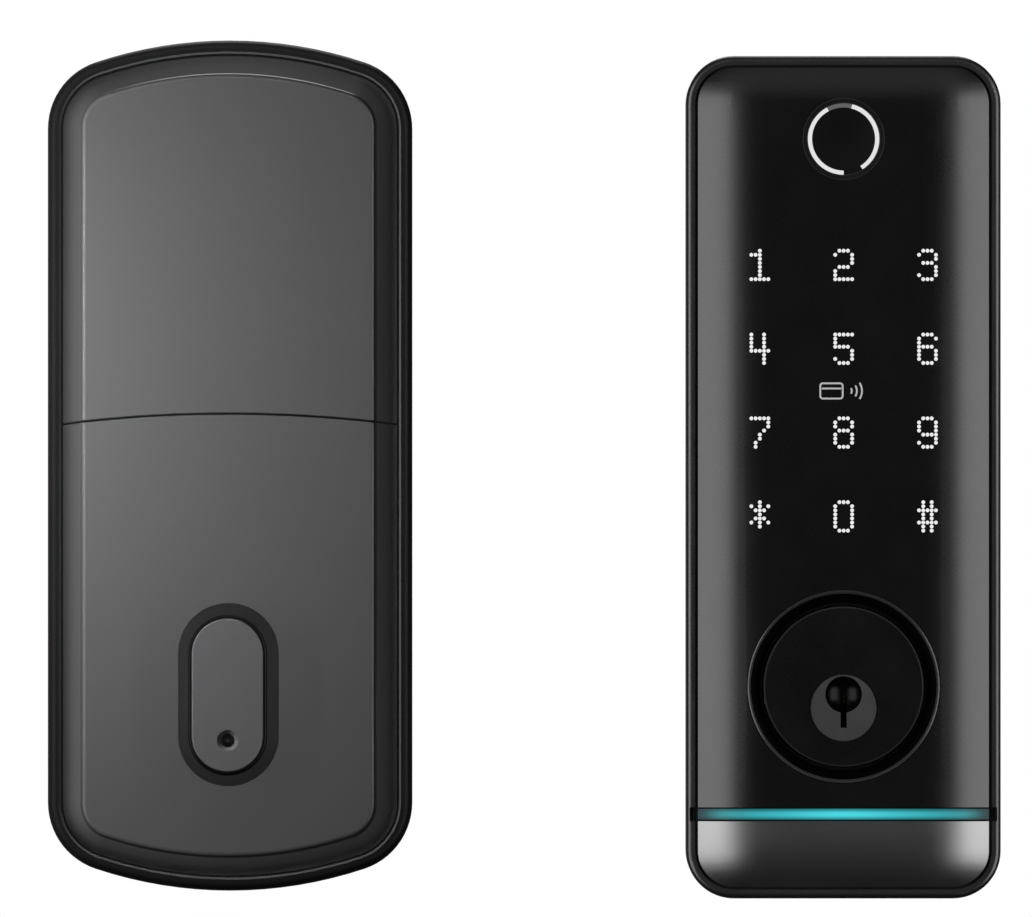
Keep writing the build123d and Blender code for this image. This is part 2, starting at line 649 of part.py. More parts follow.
# Strip of lamps behind the light bar.
BAR_CENTER_Z = (BAR_TOP_Z + BAR_BOTTOM_Z) / 2
LAMP_STRIP = (52.0, 6.0, 1.2)
LAMP_COUNT = 8
LAMP_PITCH = 6.2
LAMP_SIZE = (2.4, 1.4)
LAMP_HEIGHT = 0.8
with BuildPart() as light_bar_board:
    add(plain_block(door_plane(BULKHEAD_BACK - LAMP_STRIP[2], 0, BAR_CENTER_Z), *LAMP_STRIP))
    with BuildSketch(door_plane(BULKHEAD_BACK, 0, BAR_CENTER_Z)):
        with GridLocations(LAMP_PITCH, 1, LAMP_COUNT, 1):
            Rectangle(*LAMP_SIZE)
    extrude(amount=LAMP_HEIGHT)
light_bar_board.part.label = "light_bar_board"
export_step(light_bar_board.part, "parts/light_bar_board.step")

# Emergency power port on the underside, with its own small board.
with BuildPart() as usb_port:
    with BuildSketch(Plane(origin=(0, -USB_DEPTH, USB_BOTTOM_Z))):
        SlotOverall(USB_SIZE[0], USB_SIZE[1])
        SlotOverall(USB_SIZE[0] - 2 * USB_SHELL, USB_SIZE[1] - 2 * USB_SHELL,
                    mode=Mode.SUBTRACT)
    extrude(amount=USB_TOP_Z - USB_BOTTOM_Z)
    with BuildSketch(Plane(origin=(0, -USB_DEPTH, USB_TOP_Z - USB_BACK_WALL))):
        SlotOverall(USB_SIZE[0], USB_SIZE[1])
    extrude(amount=USB_BACK_WALL)
    add(upright_block(0, USB_DEPTH, USB_BOTTOM_Z + USB_TONGUE_RECESS, USB_TONGUE[0],
                      USB_TONGUE[1], USB_TOP_Z - USB_BOTTOM_Z - USB_TONGUE_RECESS))
usb_port.part.label = "usb_port"
export_step(usb_port.part, "parts/usb_port.step")

USB_BOARD_SIZE = (16.0, 12.0)
USB_BOARD_Z = -29.0
with BuildPart() as usb_board:
    add(plain_block(door_plane(USB_BOARD_FRONT - USB_BOARD_THICKNESS, 0, USB_BOARD_Z),
                    *USB_BOARD_SIZE, USB_BOARD_THICKNESS))
usb_board.part.label = "usb_board"
export_step(usb_board.part, "parts/usb_board.step")

# Rubber grommet where the cable leaves the back plate.
with BuildPart() as cable_grommet:
    add(disc(door_plane(GASKET_THICKNESS - GROMMET_LIP, GROMMET_X, GROMMET_Z),
             GROMMET_RADIUS, GROMMET_LIP))
    add(disc(door_plane(GASKET_THICKNESS, GROMMET_X, GROMMET_Z), GROMMET_NECK,
             BACK_PLATE_THICKNESS))
    add(disc(door_plane(BACK_PLATE_FRONT, GROMMET_X, GROMMET_Z), GROMMET_RADIUS,
             GROMMET_LIP))
    add(disc(door_plane(0, GROMMET_X, GROMMET_Z), GROMMET_BORE,
             BACK_PLATE_FRONT + GROMMET_LIP), mode=Mode.SUBTRACT)
cable_grommet.part.label = "cable_grommet"
export_step(cable_grommet.part, "parts/cable_grommet.step")

# Collar around the cylinder: a beaded lip and a cone that slopes down to the cylinder face.
COLLAR_BEAD = 0.15
COLLAR_LIP = 0.4
COLLAR_CONE_FOOT = 19.4
COLLAR_CONE_STEP = 0.3
with BuildPart() as cylinder_collar:
    with BuildSketch(Plane(origin=(0, 0, COLLAR_Z), x_dir=(1, 0, 0), z_dir=(0, 0, 1))):
        with BuildLine():
            Polyline((COLLAR_INNER, -BULKHEAD_FRONT), (COLLAR_RADIUS, -BULKHEAD_FRONT),
                     (COLLAR_RADIUS, -PANEL_FRONT),
                     (COLLAR_RADIUS - COLLAR_BEAD, -PANEL_FRONT - COLLAR_BEAD),
                     (COLLAR_RADIUS - COLLAR_LIP, -PANEL_FRONT),
                     (COLLAR_INNER + COLLAR_CONE_STEP, -COLLAR_CONE_FOOT),
                     (COLLAR_INNER, -COLLAR_CONE_FOOT), close=True)
        make_face()
    revolve(axis=Axis((0, 0, COLLAR_Z), (0, 1, 0)))
cylinder_collar.part.label = "cylinder_collar"
export_step(cylinder_collar.part, "parts/cylinder_collar.step")

# Cylinder body: a front disc with two ears, a rear barrel, the plug bore and pin chambers.
PIN_DEPTHS = [PIN_FIRST_DEPTH - PIN_PITCH * pin for pin in range(PIN_COUNT)]
SLOT_REAR = 0.2
SLOT_FRONT = 18.4
SLOT_WIDTH = 4.4
SLOT_HEIGHT = 6.0
COVER_STRIP_HEIGHT = 1.4
CYLINDER_CHAMFER = 0.3
with BuildPart() as cylinder_body:
    add(disc(door_plane(EAR_FRONT, 0, COLLAR_Z), CYLINDER_RADIUS, PANEL_FRONT - EAR_FRONT))
    chamfer(cylinder_body.faces().sort_by(Axis.Y)[0].edges(), CYLINDER_CHAMFER)
    add(disc(door_plane(CYLINDER_REAR, 0, COLLAR_Z), BARREL_RADIUS,
             EAR_FRONT - CYLINDER_REAR))
    with BuildSketch(door_plane(BACK_PLATE_FRONT, 0, COLLAR_Z)):
        SlotOverall(2 * (EAR_OFFSET + EAR_RADIUS), 2 * EAR_RADIUS, rotation=90)
    extrude(amount=EAR_FRONT - BACK_PLATE_FRONT)
    with BuildSketch(door_plane(BACK_PLATE_FRONT, 0, COLLAR_Z)):
        with Locations((0, -EAR_OFFSET), (0, EAR_OFFSET)):
            Circle(SCREW_HOLE)
    extrude(amount=EAR_FRONT - BACK_PLATE_FRONT, mode=Mode.SUBTRACT)
    add(disc(door_plane(CYLINDER_REAR), PLUG_BORE, PANEL_FRONT - CYLINDER_REAR),
        mode=Mode.SUBTRACT)
    for depth in PIN_DEPTHS:
        add(upright_rod(0, depth, 0, PIN_CHAMBER, CHAMBER_TOP), mode=Mode.SUBTRACT)
    add(upright_block(0, (SLOT_REAR + SLOT_FRONT) / 2, CHAMBER_TOP, SLOT_WIDTH,
                      SLOT_FRONT - SLOT_REAR, SLOT_HEIGHT), mode=Mode.SUBTRACT)
cylinder_body.part.label = "cylinder_body"
export_step(cylinder_body.part, "parts/cylinder_body.step")

# Strip that closes the pin chambers.
with BuildPart() as chamber_cover:
    add(upright_block(0, (SLOT_REAR + SLOT_FRONT) / 2, CHAMBER_TOP, SLOT_WIDTH - 0.1,
                      SLOT_FRONT - SLOT_REAR - 0.2, COVER_STRIP_HEIGHT))
chamber_cover.part.label = "chamber_cover"
export_step(chamber_cover.part, "parts/chamber_cover.step")

# Driver pins and their springs, above the shear line.
with BuildPart() as driver_pins:
    for depth in PIN_DEPTHS:
        add(upright_rod(0, depth, DRIVER_PIN_BOTTOM, PIN_RADIUS,
                        DRIVER_PIN_TOP - DRIVER_PIN_BOTTOM))
driver_pins.part.label = "driver_pins"
export_step(driver_pins.part, "parts/driver_pins.step")

with BuildPart() as pin_springs:
    for depth in PIN_DEPTHS:
        add(upright_rod(0, depth, DRIVER_PIN_TOP, PIN_RADIUS - 0.1,
                        CHAMBER_TOP - DRIVER_PIN_TOP))
        add(upright_rod(0, depth, DRIVER_PIN_TOP, PIN_RADIUS - 0.5,
                        CHAMBER_TOP - DRIVER_PIN_TOP), mode=Mode.SUBTRACT)
pin_springs.part.label = "pin_springs"
export_step(pin_springs.part, "parts/pin_springs.step")

# Key plug: keyway, pocket for the key guide, pin holes and a groove for the clip.
CLIP_REAR = -6.2
CLIP_GROOVE = 5.6
CLIP_RADIUS = 8.2
CLIP_THICKNESS = 0.8
CLIP_MOUTH = (5.0, 8.0)
CLIP_MOUTH_DROP = 7.0
PLUG_CHAMFER = 0.25
KEY_PIN_FOOT = 0.8
KEYWAY_CENTER = (KEYWAY_TOP + KEYWAY_BOTTOM) / 2
with BuildPart() as key_plug:
    add(disc(door_plane(PLUG_REAR), PLUG_RADIUS, PLUG_FRONT - PLUG_REAR))
    chamfer(key_plug.faces().sort_by(Axis.Y)[0].edges(), PLUG_CHAMFER)
    add(disc(door_plane(PLUG_FRONT - GUIDE_DEPTH, 0, GUIDE_Z), GUIDE_RADIUS, GUIDE_DEPTH),
        mode=Mode.SUBTRACT)
    add(plain_block(door_plane(KEYWAY_REAR, 0, KEYWAY_CENTER), KEYWAY_WIDTH,
                    KEYWAY_TOP - KEYWAY_BOTTOM, PLUG_FRONT - KEYWAY_REAR),
        mode=Mode.SUBTRACT)
    for depth in PIN_DEPTHS:
        add(upright_rod(0, depth, 0, PIN_CHAMBER, PLUG_RADIUS), mode=Mode.SUBTRACT)
    add(washer(door_plane(CLIP_REAR), PLUG_RADIUS + 1, CLIP_GROOVE, 1.0), mode=Mode.SUBTRACT)
key_plug.part.label = "key_plug"
export_step(key_plug.part, "parts/key_plug.step")

# Dished guide in the plug face that leads the key into the keyway.
guide_sphere = (GUIDE_RADIUS ** 2 + GUIDE_DISH ** 2) / (2 * GUIDE_DISH)
with BuildPart() as key_guide:
    add(disc(door_plane(PLUG_FRONT - GUIDE_DEPTH, 0, GUIDE_Z), GUIDE_RADIUS - 0.03,
             GUIDE_DEPTH - 0.1))
    with Locations((0, -(PLUG_FRONT + guide_sphere - GUIDE_DISH), GUIDE_Z)):
        Sphere(guide_sphere, mode=Mode.SUBTRACT)
    add(plain_block(door_plane(KEYWAY_REAR, 0, KEYWAY_CENTER), KEYWAY_WIDTH,
                    KEYWAY_TOP - KEYWAY_BOTTOM, PLUG_FRONT - KEYWAY_REAR),
        mode=Mode.SUBTRACT)
key_guide.part.label = "key_guide"
export_step(key_guide.part, "parts/key_guide.step")

# Key pins, level with the shear line, so the plug is free to turn.
with BuildPart() as key_pins:
    for depth in PIN_DEPTHS:
        add(upright_rod(0, depth, KEY_PIN_FOOT, PIN_RADIUS, KEY_PIN_TOP - KEY_PIN_FOOT))
key_pins.part.label = "key_pins"
export_step(key_pins.part, "parts/key_pins.step")

# Retaining clip behind the cylinder.
with BuildPart() as plug_clip:
    add(washer(door_plane(CLIP_REAR + 0.1), CLIP_RADIUS, CLIP_GROOVE + 0.05,
               CLIP_THICKNESS))
    add(plain_block(door_plane(CLIP_REAR, 0, -CLIP_MOUTH_DROP), *CLIP_MOUTH, 1.0),
        mode=Mode.SUBTRACT)
plug_clip.part.label = "plug_clip"
export_step(plug_clip.part, "parts/plug_clip.step")

# Flat tailpiece with a flange, held on the plug by a cap.
FLANGE_THICKNESS = 1.2
FLANGE_RADIUS = 5.4
TAILPIECE_FLANGE_REAR = PLUG_REAR - FLANGE_THICKNESS
CAP_LENGTH = 3.0
with BuildPart() as tailpiece:
    add(disc(door_plane(TAILPIECE_FLANGE_REAR), FLANGE_RADIUS, FLANGE_THICKNESS))
    add(plain_block(door_plane(TAILPIECE_END), TAILPIECE_THICKNESS, TAILPIECE_WIDTH,
                    TAILPIECE_FLANGE_REAR - TAILPIECE_END))
tailpiece.part.label = "tailpiece"
export_step(tailpiece.part, "parts/tailpiece.step")

with BuildPart() as tailpiece_cap:
    add(disc(door_plane(PLUG_REAR - CAP_LENGTH), PLUG_RADIUS, CAP_LENGTH))
    add(disc(door_plane(TAILPIECE_FLANGE_REAR), FLANGE_RADIUS, FLANGE_THICKNESS),
        mode=Mode.SUBTRACT)
    add(plain_block(door_plane(PLUG_REAR - CAP_LENGTH), TAILPIECE_THICKNESS + 0.1,
                    TAILPIECE_WIDTH + 0.1, CAP_LENGTH), mode=Mode.SUBTRACT)
tailpiece_cap.part.label = "tailpiece_cap"
export_step(tailpiece_cap.part, "parts/tailpiece_cap.step")

# Screws through the back plate into the cylinder ears, and into the housing bosses.
with BuildPart() as cylinder_screws:
    for rise in (-EAR_OFFSET, EAR_OFFSET):
        add(screw(door_plane(GASKET_THICKNESS, 0, COLLAR_Z + rise), SCREW_HEAD,
                  SCREW_HEAD_HEIGHT, SCREW_HOLE, CYLINDER_SCREW_LENGTH))
cylinder_screws.part.label = "cylinder_screws"
export_step(cylinder_screws.part, "parts/cylinder_screws.step")

with BuildPart() as housing_screws:
    for x, rise in HOUSING_BOSSES:
        add(screw(door_plane(GASKET_THICKNESS, x, EXT_CENTER_Z + rise), SCREW_HEAD,
                  SCREW_HEAD_HEIGHT, SCREW_HOLE, CASE_SCREW_LENGTH))
housing_screws.part.label = "housing_screws"
export_step(housing_screws.part, "parts/housing_screws.step")


# ======== Interior unit ========

BOARD_CLEARANCE = 0.6
BUSHING_RADIUS = 8.0
BUSHING_FLANGE = 9.6
IDLER_POST_RADIUS = 3.0
IDLER_POST_FRONT = 18.8
BOSS_RADIUS = 2.8
PILLAR_RADIUS = 2.2
PLATE_BORE = 12.0
BOLT_HOLE = 2.75
BOLT_ACCESS = 5.5
RIM_TAPER = -44.0
BOSS_HOLE_DEPTH = 9.0
THUMB_BOLTS = [(-BOLT_OFFSET, 0), (BOLT_OFFSET, 0)]

# Steel plate that the through-bolts clamp against the door.
with BuildPart() as mounting_plate:
    extrude(interior_outline(0, RIM_WIDTH + 0.4), amount=PLATE_THICKNESS)
    with BuildSketch(thumb_plane(0)):
        Circle(PLATE_BORE)
        with Locations(*THUMB_BOLTS):
            Circle(BOLT_HOLE)
        with Locations(*CASE_SCREWS):
            Circle(SCREW_HOLE)
    extrude(amount=PLATE_THICKNESS, mode=Mode.SUBTRACT)
mounting_plate.part.label = "mounting_plate"
export_step(mounting_plate.part, "parts/mounting_plate.step")

# Rear case: a shallow black tray with a rounded rim, and a post for the idler gear.
with BuildPart() as rear_case:
    extrude(interior_outline(CASE_BACK, 0), amount=CASE_FRONT - CASE_BACK)
    fillet(rear_case.faces().sort_by(Axis.Y)[0].edges(), CASE_ROUND)
    extrude(interior_outline(CASE_FLOOR, RIM_WIDTH), amount=CASE_FRONT - CASE_FLOOR,
            mode=Mode.SUBTRACT)
    extrude(interior_outline(CASE_FRONT - RIM_CHAMFER, RIM_WIDTH), amount=RIM_CHAMFER,
            taper=RIM_TAPER, mode=Mode.SUBTRACT)
    extrude(interior_outline(CASE_BACK, RIM_WIDTH), amount=PLATE_THICKNESS - CASE_BACK,
            mode=Mode.SUBTRACT)
    add(disc(thumb_plane(CASE_FLOOR, IDLER_X, IDLER_RISE), IDLER_POST_RADIUS,
             IDLER_POST_FRONT - CASE_FLOOR))
    with BuildSketch(thumb_plane(PLATE_THICKNESS)):
        Circle(BUSHING_RADIUS + 0.05)
        with Locations(*THUMB_BOLTS):
            Circle(BOLT_ACCESS)
        with Locations(*COVER_BOSSES):
            Circle(SCREW_HOLE + 0.1)
        with Locations(*CASE_SCREWS):
            Circle(SCREW_HOLE + 0.1)
    extrude(amount=CASE_FLOOR - PLATE_THICKNESS, mode=Mode.SUBTRACT)
    with BuildSketch(thumb_plane(PLATE_THICKNESS)):
        with Locations(*COVER_BOSSES):
            Circle(SCREW_HEAD + 0.1)
    extrude(amount=SCREW_HEAD_HEIGHT, mode=Mode.SUBTRACT)
    add(disc(thumb_plane(CASE_FLOOR + 1.0, IDLER_X, IDLER_RISE), IDLER_PIN_RADIUS,
             IDLER_POST_FRONT - CASE_FLOOR), mode=Mode.SUBTRACT)
rear_case.part.label = "rear_case"
export_step(rear_case.part, "parts/rear_case.step")

# The covers are one tapered shell, parted along a shallow arc.
with BuildPart() as cover_shell:
    extrude(interior_outline(COVER_BACK, COVER_INSET), amount=COVER_FRONT - COVER_BACK,
            taper=COVER_TAPER)
    fillet(cover_shell.faces().sort_by(Axis.Y)[0].edges(), COVER_ROUND)
    extrude(interior_outline(COVER_BACK, COVER_INSET + COVER_WALL),
            amount=COVER_FRONT - COVER_WALL - COVER_BACK, taper=COVER_TAPER,
            mode=Mode.SUBTRACT)

def split_edge(cover):
    """Front edge of a cover along the parting line."""
    arcs = cover.edges().filter_by(GeomType.CIRCLE)
    parting = [edge for edge in arcs if edge.radius > SPLIT_CURVE - 1]
    return ShapeList(parting).sort_by(Axis.Y)[0]


# Lower cover, fixed, with the thumbturn hole and four screw bosses.
with BuildPart() as lower_cover:
    add(cover_shell.part)
    add(disc(thumb_plane(COVER_BACK, 0, SPLIT_RISE - SPLIT_CURVE),
             SPLIT_CURVE - SPLIT_GAP / 2, COVER_FRONT - COVER_BACK), mode=Mode.INTERSECT)
    fillet(split_edge(lower_cover), SPLIT_ROUND)
    with BuildSketch(thumb_plane(CASE_FLOOR)):
        with Locations(*COVER_BOSSES):
            Circle(BOSS_RADIUS)
    extrude(amount=COVER_FRONT - COVER_WALL / 2 - CASE_FLOOR)
    with BuildSketch(thumb_plane(CASE_FLOOR)):
        with Locations(*COVER_BOSSES):
            Circle(SCREW_HOLE)
    extrude(amount=BOSS_HOLE_DEPTH, mode=Mode.SUBTRACT)
    add(disc(thumb_plane(CASE_FLOOR), SHAFT_HOLE, COVER_FRONT - CASE_FLOOR),
        mode=Mode.SUBTRACT)
lower_cover.part.label = "lower_cover"
export_step(lower_cover.part, "parts/lower_cover.step")

# Battery cover, which slides up, with a rail inside each side wall.
RAIL_BACK = 6.9
RAIL_THICKNESS = 1.1
RAIL_INNER = 29.7
RAIL_OUTER = 31.5
RAIL_BOTTOM = 62.0
RAIL_TOP = 106.0
with BuildPart() as battery_cover:
    add(cover_shell.part)
    add(disc(thumb_plane(COVER_BACK, 0, SPLIT_RISE - SPLIT_CURVE),
             SPLIT_CURVE + SPLIT_GAP / 2, COVER_FRONT - COVER_BACK), mode=Mode.SUBTRACT)
    fillet(split_edge(battery_cover), SPLIT_ROUND)
    for side in (-1, 1):
        add(plain_block(thumb_plane(RAIL_BACK, side * (RAIL_INNER + RAIL_OUTER) / 2,
                                    (RAIL_BOTTOM + RAIL_TOP) / 2),
                        RAIL_OUTER - RAIL_INNER, RAIL_TOP - RAIL_BOTTOM, RAIL_THICKNESS))
battery_cover.part.label = "battery_cover"
export_step(battery_cover.part, "parts/battery_cover.step")

def marker_dimple():
    """Cone that is sunk into the knob and its face plate."""
    with BuildPart() as dimple:
        with Locations(thumb_plane((MARKER_FLOOR + FACE_FRONT) / 2, 0, -MARKER_DROP)):
            Cone(MARKER_DIMPLE - (FACE_FRONT - MARKER_FLOOR), MARKER_DIMPLE,
                 FACE_FRONT - MARKER_FLOOR)
    return dimple.part


# Thumbturn knob: a slot shape that tapers to its face, with a pocket for the face plate.
with BuildPart() as thumbturn_knob:
    with BuildSketch(thumb_plane(KNOB_BACK)):
        SlotOverall(KNOB_BASE[0], KNOB_BASE[1], rotation=90)
    with BuildSketch(thumb_plane(KNOB_FRONT)):
        SlotOverall(KNOB_FACE[0], KNOB_FACE[1], rotation=90)
    loft(ruled=True)
    fillet(thumbturn_knob.faces().sort_by(Axis.Y)[0].edges(), KNOB_EDGE_ROUND)
    with BuildSketch(thumb_plane(KNOB_BACK)):
        Rectangle(KNOB_SQUARE + 0.1, KNOB_SQUARE + 0.1)
    extrude(amount=KNOB_SQUARE_FRONT - KNOB_BACK + 0.2, mode=Mode.SUBTRACT)
    with BuildSketch(thumb_plane(FACE_BACK)):
        SlotOverall(FACE_PLATE[0] + 0.1, FACE_PLATE[1] + 0.1, rotation=90)
    extrude(amount=KNOB_FRONT - FACE_BACK, mode=Mode.SUBTRACT)
    add(marker_dimple(), mode=Mode.SUBTRACT)
thumbturn_knob.part.label = "thumbturn_knob"
export_step(thumbturn_knob.part, "parts/thumbturn_knob.step")

# Face plate of the knob, a little proud of it, with the marker dimple sunk through it.
with BuildPart() as knob_face:
    with BuildSketch(thumb_plane(FACE_BACK)):
        SlotOverall(FACE_PLATE[0], FACE_PLATE[1], rotation=90)
    extrude(amount=FACE_FRONT - FACE_BACK)
    fillet(knob_face.faces().sort_by(Axis.Y)[0].edges(), FACE_ROUND)
    add(marker_dimple(), mode=Mode.SUBTRACT)
knob_face.part.label = "knob_face"
export_step(knob_face.part, "parts/knob_face.step")

# Small metal marker in the foot of the dimple.
with BuildPart() as knob_marker:
    with Locations(thumb_plane(MARKER_FLOOR + MARKER_HEIGHT / 2, 0, -MARKER_DROP)):
        Cone(0.5, 0.3, MARKER_HEIGHT)
knob_marker.part.label = "knob_marker"
export_step(knob_marker.part, "parts/knob_marker.step")

# Thumbturn spindle: square drive for the knob, clip groove and tailpiece socket.
SPINDLE_CLIP_BACK = 1.0
SPINDLE_CLIP_RADIUS = 8.4
SPINDLE_GROOVE = SPINDLE_RADIUS - 0.8
BUSHING_LENGTH = 4.0
HUB_RADIUS = 9.0
HUB_LENGTH = 2.5
WEB_HOLE_CIRCLE = 12.2
WEB_HOLE_COUNT = 6
WEB_HOLE_RADIUS = 1.9
PIN_HEAD_RADIUS = 2.6
PIN_HEAD_HEIGHT = 0.8
PIN_FRONT = IDLER_FRONT + 0.2
MOTOR_BORE_DEPTH = 4.0
MOTOR_BOSS_RADIUS = 2.0
MOTOR_BOSS_HEIGHT = 0.6
BRACKET_THICKNESS = 1.0
BRACKET_MARGIN = 0.5
with BuildPart() as thumbturn_spindle:
    add(disc(thumb_plane(SPINDLE_BACK), SPINDLE_RADIUS, KNOB_BACK - SPINDLE_BACK))
    add(plain_block(thumb_plane(KNOB_BACK), KNOB_SQUARE, KNOB_SQUARE,
                    KNOB_SQUARE_FRONT - KNOB_BACK))
    add(plain_block(thumb_plane(SPINDLE_BACK), SOCKET_THICKNESS, SOCKET_WIDTH, SOCKET_DEPTH),
        mode=Mode.SUBTRACT)
    add(washer(thumb_plane(SPINDLE_CLIP_BACK), SPINDLE_RADIUS + 1, SPINDLE_GROOVE,
               CLIP_THICKNESS + 0.1), mode=Mode.SUBTRACT)
thumbturn_spindle.part.label = "thumbturn_spindle"
export_step(thumbturn_spindle.part, "parts/thumbturn_spindle.step")

with BuildPart() as spindle_bushing:
    add(disc(thumb_plane(PLATE_THICKNESS), BUSHING_RADIUS, BUSHING_LENGTH))
    add(disc(thumb_plane(CASE_FLOOR), BUSHING_FLANGE, 1.0))
    add(disc(thumb_plane(PLATE_THICKNESS), SPINDLE_RADIUS + 0.05, BUSHING_LENGTH),
        mode=Mode.SUBTRACT)
spindle_bushing.part.label = "spindle_bushing"
export_step(spindle_bushing.part, "parts/spindle_bushing.step")

with BuildPart() as spindle_clip:
    add(washer(thumb_plane(SPINDLE_CLIP_BACK + 0.05), SPINDLE_CLIP_RADIUS,
               SPINDLE_GROOVE + 0.05, CLIP_THICKNESS))
    add(plain_block(thumb_plane(SPINDLE_CLIP_BACK, 0, -CLIP_MOUTH_DROP), *CLIP_MOUTH, 1.0),
        mode=Mode.SUBTRACT)
spindle_clip.part.label = "spindle_clip"
export_step(spindle_clip.part, "parts/spindle_clip.step")

# Gear train: drive gear on the spindle, idler cluster on its pin, pinion on the motor.
with BuildPart() as drive_gear:
    add(spur_gear(thumb_plane(DRIVE_BACK), DRIVE_TEETH, DRIVE_MODULE, 0,
                  SPINDLE_RADIUS + 0.02, DRIVE_FRONT - DRIVE_BACK))
    add(washer(thumb_plane(DRIVE_BACK - HUB_LENGTH), HUB_RADIUS, SPINDLE_RADIUS + 0.02,
               HUB_LENGTH))
    with BuildSketch(thumb_plane(DRIVE_BACK)):
        with PolarLocations(WEB_HOLE_CIRCLE, WEB_HOLE_COUNT):
            Circle(WEB_HOLE_RADIUS)
    extrude(amount=DRIVE_FRONT - DRIVE_BACK, mode=Mode.SUBTRACT)
drive_gear.part.label = "drive_gear"
export_step(drive_gear.part, "parts/drive_gear.step")

with BuildPart() as idler_gear:
    add(spur_gear(thumb_plane(IDLER_BACK, IDLER_X, IDLER_RISE), IDLER_SMALL_TEETH,
                  DRIVE_MODULE, IDLER_SMALL_PHASE, IDLER_BORE, IDLER_STEP - IDLER_BACK))
    add(spur_gear(thumb_plane(IDLER_STEP, IDLER_X, IDLER_RISE), IDLER_LARGE_TEETH,
                  MOTOR_MODULE, 0, IDLER_BORE, IDLER_FRONT - IDLER_STEP))
idler_gear.part.label = "idler_gear"
export_step(idler_gear.part, "parts/idler_gear.step")

with BuildPart() as idler_pin:
    add(disc(thumb_plane(CASE_FLOOR + 1.0, IDLER_X, IDLER_RISE), IDLER_PIN_RADIUS,
             PIN_FRONT - CASE_FLOOR - 1.0))
    add(disc(thumb_plane(PIN_FRONT, IDLER_X, IDLER_RISE), PIN_HEAD_RADIUS, PIN_HEAD_HEIGHT))
idler_pin.part.label = "idler_pin"
export_step(idler_pin.part, "parts/idler_pin.step")

SHAFT_REAR = MOTOR_FRONT - MOTOR_BORE_DEPTH + 0.5
with BuildPart() as motor_pinion:
    add(spur_gear(thumb_plane(PINION_BACK, PINION_X, PINION_RISE), PINION_TEETH,
                  MOTOR_MODULE, PINION_PHASE, MOTOR_SHAFT, PINION_FRONT - PINION_BACK))
    add(disc(thumb_plane(SHAFT_REAR, PINION_X, PINION_RISE), MOTOR_SHAFT,
             PINION_FRONT - SHAFT_REAR))
motor_pinion.part.label = "motor_pinion"
export_step(motor_pinion.part, "parts/motor_pinion.step")

with BuildPart() as motor_body:
    add(rounded_block(thumb_plane(MOTOR_BACK, PINION_X, PINION_RISE), MOTOR_SIZE[0],
                      MOTOR_SIZE[1], MOTOR_CORNER, MOTOR_FRONT - MOTOR_BACK))
    add(disc(thumb_plane(MOTOR_FRONT, PINION_X, PINION_RISE), MOTOR_BOSS_RADIUS,
             MOTOR_BOSS_HEIGHT))
    add(disc(thumb_plane(MOTOR_FRONT - MOTOR_BORE_DEPTH, PINION_X, PINION_RISE),
             MOTOR_SHAFT + 0.05, MOTOR_BORE_DEPTH + MOTOR_BOSS_HEIGHT), mode=Mode.SUBTRACT)
motor_body.part.label = "motor_body"
export_step(motor_body.part, "parts/motor_body.step")

# Bracket that ties the motor to the rear case on two pillars.
with BuildPart() as gearbox_plate:
    with BuildSketch(thumb_plane(MOTOR_FRONT)):
        with Locations((PINION_X, PINION_RISE)):
            RectangleRounded(MOTOR_SIZE[0] + 2 * BRACKET_MARGIN,
                             MOTOR_SIZE[1] + 2 * BRACKET_MARGIN, MOTOR_CORNER)
        with Locations(*PILLARS):
            Circle(PILLAR_RADIUS + 2 * BRACKET_MARGIN)
        with Locations(((PILLARS[0][0] + PILLARS[1][0]) / 2,
                        (PILLARS[0][1] + PILLARS[1][1]) / 2)):
            Rectangle(PILLARS[0][0] - PILLARS[1][0], 4.0)
        with Locations((PINION_X, PINION_RISE)):
            Circle(MOTOR_BOSS_RADIUS + 0.1, mode=Mode.SUBTRACT)
    extrude(amount=BRACKET_THICKNESS)
    with BuildSketch(thumb_plane(CASE_FLOOR)):
        with Locations(*PILLARS):
            Circle(PILLAR_RADIUS)
    extrude(amount=MOTOR_FRONT - CASE_FLOOR)
gearbox_plate.part.label = "gearbox_plate"
export_step(gearbox_plate.part, "parts/gearbox_plate.step")

